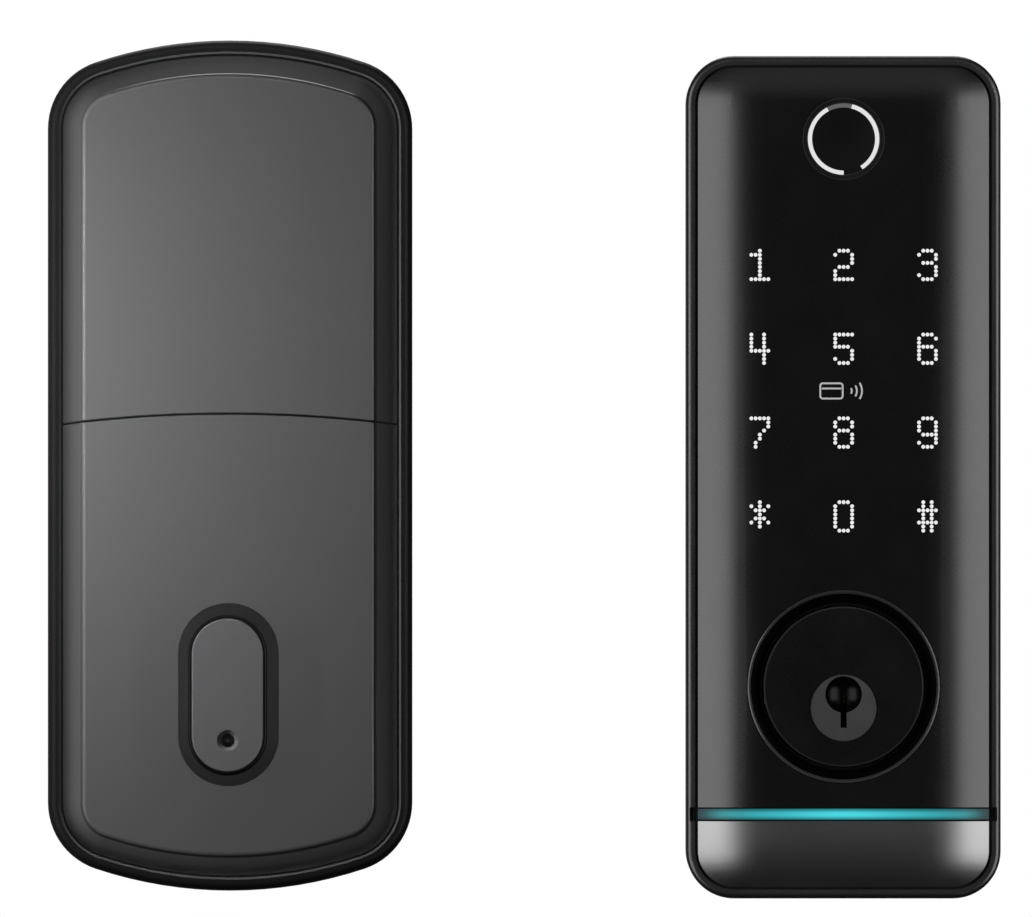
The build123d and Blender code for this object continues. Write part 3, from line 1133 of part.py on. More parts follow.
# Main board, cut back around the spindle, the bosses, the pillars and the idler post.
MAIN_BOARD_FRONT = MAIN_BOARD_BACK + BOARD_THICKNESS
MAIN_BOARD_TOP = 51.0
MAIN_BOARD_INSET = 5.5
DRIVER_CHIP = (14.0, 9.0, 1.8)
DRIVER_CHIP_PLACE = (14, 42)
RADIO_CHIP = (7.0, 7.0, 1.0)
RADIO_CHIP_PLACE = (-20, 8)
SOCKET_OUTER = (10.0, 6.0, 4.4)
SOCKET_INNER = (8.4, 4.4, 3.4)
SOCKET_PLACE = (17, 25)
BUZZER_RADIUS = 5.0
BUZZER_HEIGHT = 4.0
BUZZER_PLACE = (-11, -24)
with BuildPart() as main_board:
    extrude(interior_outline(MAIN_BOARD_BACK, MAIN_BOARD_INSET), amount=BOARD_THICKNESS)
    split(bisect_by=Plane.XY.offset(THUMB_Z + MAIN_BOARD_TOP), keep=Keep.BOTTOM)
    with BuildSketch(thumb_plane(MAIN_BOARD_BACK)):
        Circle(BUSHING_FLANGE + BOARD_CLEARANCE)
        with Locations(*COVER_BOSSES):
            Circle(BOSS_RADIUS + BOARD_CLEARANCE)
        with Locations(*PILLARS):
            Circle(PILLAR_RADIUS + BOARD_CLEARANCE)
        with Locations((IDLER_X, IDLER_RISE)):
            Circle(IDLER_POST_RADIUS + BOARD_CLEARANCE)
        with Locations(*CASE_SCREWS):
            Circle(SCREW_HEAD + BOARD_CLEARANCE)
    extrude(amount=BOARD_THICKNESS, mode=Mode.SUBTRACT)
    add(plain_block(thumb_plane(MAIN_BOARD_FRONT, *DRIVER_CHIP_PLACE), *DRIVER_CHIP))
    add(plain_block(thumb_plane(MAIN_BOARD_FRONT, *RADIO_CHIP_PLACE), *RADIO_CHIP))
main_board.part.label = "main_board"
export_step(main_board.part, "parts/main_board.step")

with BuildPart() as cable_socket:
    add(plain_block(thumb_plane(MAIN_BOARD_FRONT, *SOCKET_PLACE), *SOCKET_OUTER))
    add(plain_block(thumb_plane(MAIN_BOARD_FRONT + SOCKET_OUTER[2] - SOCKET_INNER[2],
                                *SOCKET_PLACE), *SOCKET_INNER), mode=Mode.SUBTRACT)
cable_socket.part.label = "cable_socket"
export_step(cable_socket.part, "parts/cable_socket.step")

with BuildPart() as buzzer:
    add(disc(thumb_plane(MAIN_BOARD_FRONT, *BUZZER_PLACE), BUZZER_RADIUS, BUZZER_HEIGHT))
    add(disc(thumb_plane(MAIN_BOARD_FRONT + BUZZER_HEIGHT - 1.0, *BUZZER_PLACE), 1.0, 1.0),
        mode=Mode.SUBTRACT)
buzzer.part.label = "buzzer"
export_step(buzzer.part, "parts/buzzer.step")

# Battery tray with four channels, end walls and the flanges that hold the cover rails.
TRAY_CENTER = (TRAY_BOTTOM + TRAY_TOP) / 2
FLANGE_BACK = 8.3
FLANGE_WIDTH = 60.6
TRAY_FLANGE_THICKNESS = 1.5
END_WALL_HEIGHT = 6.0
CONTACT_WIDTH = 9.0
CELL_XS = [THUMB_X + CELL_PITCH * (cell - (CELL_COUNT - 1) / 2) for cell in range(CELL_COUNT)]
CHANNEL_BOTTOM = THUMB_Z + TRAY_BOTTOM + TRAY_WALL
CHANNEL_LENGTH = TRAY_TOP - TRAY_BOTTOM - 2 * TRAY_WALL
with BuildPart() as battery_tray:
    add(plain_block(thumb_plane(CASE_FLOOR, 0, TRAY_CENTER), TRAY_WIDTH,
                    TRAY_TOP - TRAY_BOTTOM, TRAY_FRONT - CASE_FLOOR))
    add(plain_block(thumb_plane(FLANGE_BACK, 0, (RAIL_BOTTOM + RAIL_TOP) / 2), FLANGE_WIDTH,
                    RAIL_TOP - RAIL_BOTTOM, TRAY_FLANGE_THICKNESS))
    for edge in (TRAY_BOTTOM + TRAY_WALL / 2, TRAY_TOP - TRAY_WALL / 2):
        add(plain_block(thumb_plane(TRAY_FRONT, 0, edge), TRAY_WIDTH - 8.0, TRAY_WALL,
                        END_WALL_HEIGHT))
    for x in CELL_XS:
        add(upright_rod(x, CELL_DEPTH, CHANNEL_BOTTOM, CELL_RADIUS + 0.1, CHANNEL_LENGTH),
            mode=Mode.SUBTRACT)
battery_tray.part.label = "battery_tray"
export_step(battery_tray.part, "parts/battery_tray.step")

# Four cells, side by side, facing up and down in turn.
SPRING_LENGTH = CHANNEL_LENGTH - 2 * CONTACT_THICKNESS - CELL_BODY - CELL_NUB
with BuildPart() as batteries:
    for index, x in enumerate(CELL_XS):
        nub_up = index % 2 == 0
        base = CHANNEL_BOTTOM + CONTACT_THICKNESS + (SPRING_LENGTH if nub_up else CELL_NUB)
        add(upright_rod(x, CELL_DEPTH, base, CELL_RADIUS, CELL_BODY))
        nub_base = base + CELL_BODY if nub_up else base - CELL_NUB
        add(upright_rod(x, CELL_DEPTH, nub_base, CELL_NUB_RADIUS, CELL_NUB))
batteries.part.label = "batteries"
export_step(batteries.part, "parts/batteries.step")

# Contact plates at both ends of the tray.
with BuildPart() as contact_plates:
    for base in (CHANNEL_BOTTOM, CHANNEL_BOTTOM + CHANNEL_LENGTH - CONTACT_THICKNESS):
        for x in CELL_XS:
            add(upright_block(x, CELL_DEPTH, base, CONTACT_WIDTH, CONTACT_WIDTH,
                              CONTACT_THICKNESS))
contact_plates.part.label = "contact_plates"
export_step(contact_plates.part, "parts/contact_plates.step")

# Coil springs at the flat end of each cell, as stepped sleeves.
SPRING_STEPS = 3
SPRING_RADIUS = 4.0
SPRING_TAPER = 0.6
with BuildPart() as contact_springs:
    for index, x in enumerate(CELL_XS):
        spring_at_foot = index % 2 == 0
        for step in range(SPRING_STEPS):
            step_height = SPRING_LENGTH / SPRING_STEPS
            if spring_at_foot:
                start = CHANNEL_BOTTOM + CONTACT_THICKNESS + step * step_height
            else:
                start = CHANNEL_BOTTOM + CHANNEL_LENGTH - CONTACT_THICKNESS
                start = start - (step + 1) * step_height
            add(upright_rod(x, CELL_DEPTH, start, SPRING_RADIUS - SPRING_TAPER * step,
                            step_height))
contact_springs.part.label = "contact_springs"
export_step(contact_springs.part, "parts/contact_springs.step")

# Reset button above the tray, on its own small board.
BUTTON_BOARD_SIZE = (12.0, 6.6)
SWITCH_SIZE = (6.0, 6.0, 3.5)
SWITCH_FLOOR = 7.4
BUTTON_BACK = 8.0
BUTTON_LENGTH = 3.0
with BuildPart() as button_board:
    add(plain_block(thumb_plane(CASE_FLOOR, BUTTON_X, BUTTON_RISE), *BUTTON_BOARD_SIZE,
                    BOARD_THICKNESS))
    add(plain_block(thumb_plane(CASE_FLOOR + BOARD_THICKNESS, BUTTON_X, BUTTON_RISE),
                    *SWITCH_SIZE))
    add(disc(thumb_plane(SWITCH_FLOOR, BUTTON_X, BUTTON_RISE), BUTTON_RADIUS + 0.05, 2.0),
        mode=Mode.SUBTRACT)
button_board.part.label = "button_board"
export_step(button_board.part, "parts/button_board.step")

with BuildPart() as reset_button:
    add(disc(thumb_plane(BUTTON_BACK, BUTTON_X, BUTTON_RISE), BUTTON_RADIUS, BUTTON_LENGTH))
    fillet(reset_button.faces().sort_by(Axis.Y)[0].edges(), 0.3)
reset_button.part.label = "reset_button"
export_step(reset_button.part, "parts/reset_button.step")

# Screws from behind into the lower cover, and from the front into the mounting plate.
with BuildPart() as cover_screws:
    for x, rise in COVER_BOSSES:
        add(screw(thumb_plane(PLATE_THICKNESS + SCREW_HEAD_HEIGHT, x, rise), SCREW_HEAD,
                  SCREW_HEAD_HEIGHT - 0.1, SCREW_HOLE, CASE_SCREW_LENGTH))
cover_screws.part.label = "cover_screws"
export_step(cover_screws.part, "parts/cover_screws.step")

with BuildPart() as case_screws:
    for x, rise in CASE_SCREWS:
        add(disc(thumb_plane(0.2, x, rise), SCREW_HOLE, CASE_FLOOR - 0.2))
        add(disc(thumb_plane(CASE_FLOOR, x, rise), SCREW_HEAD, SCREW_HEAD_HEIGHT))
        add(plain_block(thumb_plane(CASE_FLOOR + 0.6, x, rise), SCREW_HEAD, 0.6, 0.7),
            mode=Mode.SUBTRACT)
case_screws.part.label = "case_screws"
export_step(case_screws.part, "parts/case_screws.step")
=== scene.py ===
"""Looks of the keypad smart lock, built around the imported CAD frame. All lengths are in metres."""

import json
import math

import bmesh
import bpy
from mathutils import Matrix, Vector
from mathutils.bvhtree import BVHTree

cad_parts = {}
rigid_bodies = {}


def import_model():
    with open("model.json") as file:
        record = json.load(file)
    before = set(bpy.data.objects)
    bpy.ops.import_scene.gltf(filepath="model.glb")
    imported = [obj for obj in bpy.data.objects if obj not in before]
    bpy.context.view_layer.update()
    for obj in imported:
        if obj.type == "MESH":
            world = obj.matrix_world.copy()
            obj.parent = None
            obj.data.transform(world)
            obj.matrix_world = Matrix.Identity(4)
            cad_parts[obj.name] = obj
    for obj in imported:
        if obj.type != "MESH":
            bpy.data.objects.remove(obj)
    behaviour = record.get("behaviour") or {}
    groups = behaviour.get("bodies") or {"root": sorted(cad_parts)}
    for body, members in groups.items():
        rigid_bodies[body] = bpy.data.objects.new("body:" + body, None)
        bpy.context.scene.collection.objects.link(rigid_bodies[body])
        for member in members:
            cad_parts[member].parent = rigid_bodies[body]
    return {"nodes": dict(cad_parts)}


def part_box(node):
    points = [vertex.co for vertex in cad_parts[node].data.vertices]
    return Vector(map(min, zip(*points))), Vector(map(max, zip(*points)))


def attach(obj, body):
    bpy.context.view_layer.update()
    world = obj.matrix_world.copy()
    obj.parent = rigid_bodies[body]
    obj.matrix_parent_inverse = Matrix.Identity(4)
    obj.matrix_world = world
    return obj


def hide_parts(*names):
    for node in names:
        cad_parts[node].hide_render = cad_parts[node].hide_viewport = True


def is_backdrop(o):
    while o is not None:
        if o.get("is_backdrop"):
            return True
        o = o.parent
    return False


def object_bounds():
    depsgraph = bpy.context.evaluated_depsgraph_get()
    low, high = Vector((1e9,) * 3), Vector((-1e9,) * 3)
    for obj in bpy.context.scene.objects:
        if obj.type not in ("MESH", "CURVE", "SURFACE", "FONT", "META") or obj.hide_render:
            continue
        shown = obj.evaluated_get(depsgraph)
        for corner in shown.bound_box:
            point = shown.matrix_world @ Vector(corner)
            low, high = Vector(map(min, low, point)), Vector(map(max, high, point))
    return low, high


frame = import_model()
cad_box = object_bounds()

MM = 0.001
nodes = frame["nodes"]


# ---- Camera ----

FRAME_WIDTH = 203.15 * MM
LENS = 800.0
SENSOR = 36.0
VIEW_X = -64.5 * MM
VIEW_Z = 49.1 * MM
CLIP_END = 50.0


def add_camera():
    """Long lens, square on to the front faces, as in a catalogue picture."""
    data = bpy.data.cameras.new("camera")
    data.lens = LENS
    data.sensor_width = SENSOR
    data.clip_end = CLIP_END
    camera = bpy.data.objects.new("camera", data)
    distance = FRAME_WIDTH * LENS / SENSOR
    face_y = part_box("touch_panel")[0].y
    camera.location = (VIEW_X, face_y - distance, VIEW_Z)
    camera.rotation_euler = (math.pi / 2, 0, 0)
    bpy.context.scene.collection.objects.link(camera)
    bpy.context.scene.camera = camera


# ---- Node materials ----

def link(tree, source, target):
    """Joins two sockets of a node tree."""
    tree.links.new(source, target)


def math_node(tree, operation, first, second=None):
    """Math node fed by sockets or numbers; returns its output socket."""
    node = tree.nodes.new("ShaderNodeMath")
    node.operation = operation
    for index, value in enumerate((first, second)):
        if value is None:
            continue
        if isinstance(value, (int, float)):
            node.inputs[index].default_value = value
        else:
            link(tree, value, node.inputs[index])
    return node.outputs[0]


def map_range(tree, value, from_min, from_max, to_min, to_max, smooth=False):
    """Clamped map from one range of values to another; returns its output socket."""
    node = tree.nodes.new("ShaderNodeMapRange")
    node.interpolation_type = "SMOOTHSTEP" if smooth else "LINEAR"
    link(tree, value, node.inputs["Value"])
    node.inputs["From Min"].default_value = from_min
    node.inputs["From Max"].default_value = from_max
    node.inputs["To Min"].default_value = to_min
    node.inputs["To Max"].default_value = to_max
    return node.outputs["Result"]


def object_position(tree, stretch=(1, 1, 1)):
    """Position on the object, in metres, with each axis stretched; returns a vector socket."""
    coordinates = tree.nodes.new("ShaderNodeTexCoord")
    mapping = tree.nodes.new("ShaderNodeMapping")
    mapping.inputs["Scale"].default_value = stretch
    link(tree, coordinates.outputs["Object"], mapping.inputs["Vector"])
    return mapping.outputs["Vector"]


def position_axes(tree):
    """X, Y and Z of the position on the object; returns the outputs of a node."""
    node = tree.nodes.new("ShaderNodeSeparateXYZ")
    link(tree, object_position(tree), node.inputs[0])
    return node.outputs


def noise(tree, scale, detail=3.0, stretch=(1, 1, 1)):
    """Fine noise over the object; returns its value socket."""
    node = tree.nodes.new("ShaderNodeTexNoise")
    node.inputs["Scale"].default_value = scale
    node.inputs["Detail"].default_value = detail
    link(tree, object_position(tree, stretch), node.inputs["Vector"])
    return node.outputs["Fac"]


MIX_COLOUR_A = 6
MIX_COLOUR_B = 7
MIX_COLOUR_RESULT = 2


def colour_mix(tree, factor, dark, light):
    """Mix of two colours, given as sockets or values, by a value socket; returns a colour
    socket. The mix node has sockets of the same name for each data type, so its colour
    sockets are taken by number."""
    node = tree.nodes.new("ShaderNodeMix")
    node.data_type = "RGBA"
    link(tree, factor, node.inputs["Factor"])
    for index, colour in ((MIX_COLOUR_A, dark), (MIX_COLOUR_B, light)):
        if isinstance(colour, bpy.types.NodeSocket):
            link(tree, colour, node.inputs[index])
        else:
            node.inputs[index].default_value = (*colour, 1.0)
    return node.outputs[MIX_COLOUR_RESULT]


def shade(colour, factor):
    """Colour made darker or lighter by a factor."""
    return tuple(min(channel * factor, 1.0) for channel in colour)


def bump(tree, shader, height, depth):
    """Bump of a real depth in metres on the shader's normal."""
    node = tree.nodes.new("ShaderNodeBump")
    node.inputs["Distance"].default_value = depth
    link(tree, height, node.inputs["Height"])
    link(tree, node.outputs["Normal"], shader.inputs["Normal"])


def new_material(name):
    """Empty principled material; returns material, tree and shader."""
    material = bpy.data.materials.new(name)
    material.use_nodes = True
    return material, material.node_tree, material.node_tree.nodes["Principled BSDF"]


# Y part of a unit normal below which a face counts as leaning away from the Y axis.
FLATNESS = 0.92


def edge_mask(tree, inward_of=None, flatness=FLATNESS):
    """1 on chamfers and side faces, 0 on faces that look along the Y axis; it places the painted
    shade or painted highlight of an edge colour.
    With a centre (x, z) it keeps only the edges that face that centre."""
    coordinates = tree.nodes.new("ShaderNodeTexCoord")
    normal = tree.nodes.new("ShaderNodeSeparateXYZ")
    link(tree, coordinates.outputs["Normal"], normal.inputs[0])
    mask = math_node(tree, "LESS_THAN", math_node(tree, "ABSOLUTE", normal.outputs["Y"]), flatness)
    if inward_of is None:
        return mask
    position = position_axes(tree)
    across = math_node(tree, "MULTIPLY", normal.outputs["X"],
                       math_node(tree, "SUBTRACT", position["X"], inward_of[0]))
    upward = math_node(tree, "MULTIPLY", normal.outputs["Z"],
                       math_node(tree, "SUBTRACT", position["Z"], inward_of[1]))
    faces_in = math_node(tree, "LESS_THAN", math_node(tree, "ADD", across, upward), 0.0)
    return math_node(tree, "MULTIPLY", mask, faces_in)


def ring_mask(tree, centre, inner, outer):
    """1 between two radii round an axis along Y through centre (x, z), 0 elsewhere."""
    position = position_axes(tree)
    across = math_node(tree, "SUBTRACT", position["X"], centre[0])
    upward = math_node(tree, "SUBTRACT", position["Z"], centre[1])
    radius = math_node(tree, "SQRT", math_node(
        tree, "ADD", math_node(tree, "MULTIPLY", across, across),
        math_node(tree, "MULTIPLY", upward, upward)))
    return math_node(tree, "MULTIPLY", math_node(tree, "GREATER_THAN", radius, inner),
                     math_node(tree, "LESS_THAN", radius, outer))


GRAIN_DETAIL = 4.0
CLOUD_SCALE = 90.0
CLOUD_DETAIL = 2.0
NOISE_LOW = 0.3
NOISE_HIGH = 0.7
LEAST_ROUGHNESS = 0.02


def roughness_from(tree, shader, value, smoothest, roughest):
    """Roughness that follows a noise value."""
    link(tree, map_range(tree, value, NOISE_LOW, NOISE_HIGH, smoothest, roughest),
         shader.inputs["Roughness"])


def surface(name, colour, roughness, metallic=0.0, variation=0.10, rough_spread=0.05,
            grain=2500.0, depth=0.004, stretch=(1, 1, 1), ior=1.5, edge=None,
            inward_of=None, flatness=FLATNESS):
    """Surface with fine grain: colour, roughness and relief all follow a noise.
    depth is the height of the grain in millimetres; edge is a colour painted on chamfers and
    side faces, those that lean more than flatness allows: painted shade where it is darker than
    the colour, a painted highlight where it is lighter."""
    material, tree, shader = new_material(name)
    fine = noise(tree, grain, GRAIN_DETAIL, stretch)
    cloud = noise(tree, CLOUD_SCALE, CLOUD_DETAIL)
    mottled = math_node(tree, "ADD", math_node(tree, "MULTIPLY", fine, 0.5),
                        math_node(tree, "MULTIPLY", cloud, 0.5))
    base = colour_mix(tree, mottled, shade(colour, 1 - variation), shade(colour, 1 + variation))
    # Painted shade or painted highlight: the edge colour replaces the base on chamfers and side
    # faces.
    if edge is not None:
        base = colour_mix(tree, edge_mask(tree, inward_of, flatness), base, edge)
    link(tree, base, shader.inputs["Base Color"])
    roughness_from(tree, shader, mottled, max(roughness - rough_spread, LEAST_ROUGHNESS),
                   roughness + rough_spread)
    shader.inputs["Metallic"].default_value = metallic
    shader.inputs["IOR"].default_value = ior
    bump(tree, shader, fine, depth * MM)
    return material


GLOW_GRAIN = 3000.0
GLOW_GRAIN_DETAIL = 2.0
GLOW_GRAIN_SHADE = 0.92
GLOW_UNLIT_SHADE = 0.3
GLOW_ROUGHNESS = 0.35
GLOW_SPECULAR = 0.15


def glowing(name, colour, strength=1.0):
    """Translucent plastic that gives off light."""
    material, tree, shader = new_material(name)
    grain = noise(tree, GLOW_GRAIN, GLOW_GRAIN_DETAIL)
    link(tree, colour_mix(tree, grain, shade(colour, GLOW_GRAIN_SHADE), colour),
         shader.inputs["Emission Color"])
    shader.inputs["Base Color"].default_value = (*shade(colour, GLOW_UNLIT_SHADE), 1.0)
    shader.inputs["Roughness"].default_value = GLOW_ROUGHNESS
    shader.inputs["Emission Strength"].default_value = strength
    shader.inputs["Specular IOR Level"].default_value = GLOW_SPECULAR
    return material, tree, shader


def paint(node_names, material):
    """Gives CAD nodes a material."""
    for name in node_names:
        mesh = nodes[name].data
        mesh.materials.clear()
        mesh.materials.append(material)


# ---- Materials ----

COLLAR_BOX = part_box("cylinder_collar")
COLLAR_CENTRE = (0.0, (COLLAR_BOX[0].z + COLLAR_BOX[1].z) / 2)
COLLAR_LIP_WIDTH = 0.75 * MM
COLLAR_LIP_MARGIN = 0.1 * MM
COLLAR_BLACK = (0.0008, 0.0008, 0.0009)
# Painted highlight: a lighter grey on the collar's rounded lip, where light would catch it.
COLLAR_LIP_HIGHLIGHT_GREY = (0.030, 0.030, 0.031)
COLLAR_ROUGHNESS = (0.22, 0.28)
COLLAR_IOR = 1.4
COLLAR_GRAIN = 3600.0
COLLAR_GRAIN_DEPTH = 0.001 * MM


def collar_material():
    """Black collar with a painted highlight: its rounded lip is a lighter grey."""
    material, tree, shader = new_material("collar_black")
    outer = COLLAR_BOX[1].x
    # Ring of the rounded lip, which gets the painted highlight grey.
    lip = ring_mask(tree, COLLAR_CENTRE, outer - COLLAR_LIP_WIDTH, outer - COLLAR_LIP_MARGIN)
    link(tree, colour_mix(tree, lip, COLLAR_BLACK, COLLAR_LIP_HIGHLIGHT_GREY), shader.inputs["Base Color"])
    fine = noise(tree, COLLAR_GRAIN)
    roughness_from(tree, shader, fine, *COLLAR_ROUGHNESS)
    shader.inputs["IOR"].default_value = COLLAR_IOR
    bump(tree, shader, fine, COLLAR_GRAIN_DEPTH)
    return material


BAR_CYAN = (0.068, 0.70, 0.78)
BAR_UNLIT = (0.004, 0.02, 0.022, 1.0)
# Start and end of a fade, as shares of half the bar's length or of its height, then the
# strength at the end of it.
BAR_SLOPE = (0.06, 0.80, 0.40)
BAR_TIP = (0.80, 1.0, 0.08)
BAR_CORE = (0.04, 0.60, 0.16)


def fade_out(tree, share, start, end, final, smooth=False):
    """Strength that falls from 1 to a final value between two shares."""
    return map_range(tree, share, start, end, 1.0, final, smooth)


def light_bar_material():
    """Cyan bar, brightest in the middle and fading towards its ends and its long edges."""
    material, tree, shader = glowing("light_bar_glow", BAR_CYAN)
    position = position_axes(tree)
    low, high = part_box("light_bar")
    away = math_node(tree, "DIVIDE", math_node(tree, "ABSOLUTE", position["X"]), high.x)
    fade = math_node(tree, "MULTIPLY", fade_out(tree, away, *BAR_SLOPE),
                     fade_out(tree, away, *BAR_TIP, smooth=True))
    off_centre = math_node(tree, "SUBTRACT", position["Z"], (low.z + high.z) / 2)
    rise = math_node(tree, "DIVIDE", math_node(tree, "ABSOLUTE", off_centre), high.z - low.z)
    core = fade_out(tree, rise, *BAR_CORE, smooth=True)
    link(tree, math_node(tree, "MULTIPLY", fade, core), shader.inputs["Emission Strength"])
    shader.inputs["Base Color"].default_value = BAR_UNLIT
    return material


RING_WHITE = (0.95, 0.95, 0.97)
RING_UNLIT = (0.002, 0.002, 0.002, 1.0)
RING_GAP = (270.0, 302.0)
RING_DIM = (76.0, 118.0)
RING_STRENGTH = 0.85
RING_GAP_LOSS = 0.848
RING_DIM_LOSS = 0.72
READER_Z = (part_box("fingerprint_pad")[0].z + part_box("fingerprint_pad")[1].z) / 2


def arc_mask(tree, angle, start, end):
    """1 between two angles in degrees, 0 elsewhere."""
    after = math_node(tree, "GREATER_THAN", angle, math.radians(start))
    before = math_node(tree, "LESS_THAN", angle, math.radians(end))
    return math_node(tree, "MULTIPLY", after, before)


def light_ring_material():
    """White ring of light with an unlit gap at its foot and a dim stretch at its top."""
    material, tree, shader = glowing("light_ring_glow", RING_WHITE)
    position = position_axes(tree)
    rise = math_node(tree, "SUBTRACT", position["Z"], READER_Z)
    signed = math_node(tree, "ARCTAN2", rise, position["X"])
    angle = math_node(tree, "FLOORED_MODULO", signed, 2 * math.pi)
    strength = RING_STRENGTH
    for arc, loss in ((RING_GAP, RING_GAP_LOSS), (RING_DIM, RING_DIM_LOSS)):
        lost = math_node(tree, "MULTIPLY", arc_mask(tree, angle, *arc), loss)
        strength = math_node(tree, "SUBTRACT", strength, lost)
    link(tree, strength, shader.inputs["Emission Strength"])
    shader.inputs["Base Color"].default_value = RING_UNLIT
    return material


BOARD_ROUGHNESS = 0.3
TRACK_SCALE = 420.0
TRACK_WIDTH = 0.05
TRACK_DEPTH = 0.02 * MM
MASK_GREENS = ((0.010, 0.085, 0.035, 1), (0.014, 0.105, 0.045, 1))
TRACK_GREEN = (0.03, 0.19, 0.09, 1)


def board_material():
    """Green solder mask over a faint pattern of tracks."""
    material, tree, shader = new_material("board_green")
    tracks = tree.nodes.new("ShaderNodeTexBrick")
    tracks.inputs["Scale"].default_value = TRACK_SCALE
    tracks.inputs["Mortar Size"].default_value = TRACK_WIDTH
    tracks.inputs["Color1"].default_value = MASK_GREENS[0]
    tracks.inputs["Color2"].default_value = MASK_GREENS[1]
    tracks.inputs["Mortar"].default_value = TRACK_GREEN
    turned = tree.nodes.new("ShaderNodeMapping")
    turned.inputs["Rotation"].default_value = (math.pi / 2, 0, 0)
    link(tree, object_position(tree), turned.inputs["Vector"])
    link(tree, turned.outputs["Vector"], tracks.inputs["Vector"])
    link(tree, tracks.outputs["Color"], shader.inputs["Base Color"])
    shader.inputs["Roughness"].default_value = BOARD_ROUGHNESS
    bump(tree, shader, tracks.outputs["Fac"], TRACK_DEPTH)
    return material


CELL_BLUE = (0.015, 0.03, 0.07)
CELL_COPPER = (0.55, 0.24, 0.08)
CELL_METAL = (0.55, 0.55, 0.55)
CELL_BAND = (0.66, 0.67)
CELL_END = (0.472, 0.476)
CELL_ROUGHNESS = (0.22, 0.34)
CELL_GRAIN = 1500.0
CELL_GRAIN_DEPTH = 0.004 * MM


def cell_material():
    """Battery sleeve: blue body with a copper band round the upper third of each cell, and
    bare metal at both ends. The band and the ends start at shares of the cell's length."""
    material, tree, shader = new_material("cell_sleeve")
    low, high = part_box("batteries")
    share = map_range(tree, position_axes(tree)["Z"], low.z, high.z, 0.0, 1.0)
    band = map_range(tree, share, *CELL_BAND, 0.0, 1.0)
    from_middle = math_node(tree, "ABSOLUTE", math_node(tree, "SUBTRACT", share, 0.5))
    metal_end = map_range(tree, from_middle, *CELL_END, 0.0, 1.0)
    sleeve = colour_mix(tree, band, CELL_BLUE, CELL_COPPER)
    link(tree, colour_mix(tree, metal_end, sleeve, CELL_METAL), shader.inputs["Base Color"])
    link(tree, metal_end, shader.inputs["Metallic"])
    fine = noise(tree, CELL_GRAIN)
    roughness_from(tree, shader, fine, *CELL_ROUGHNESS)
    bump(tree, shader, fine, CELL_GRAIN_DEPTH)
    return material


CASE_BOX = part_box("rear_case")
CASE_CENTRE = ((CASE_BOX[0].x + CASE_BOX[1].x) / 2, (CASE_BOX[0].z + CASE_BOX[1].z) / 2)

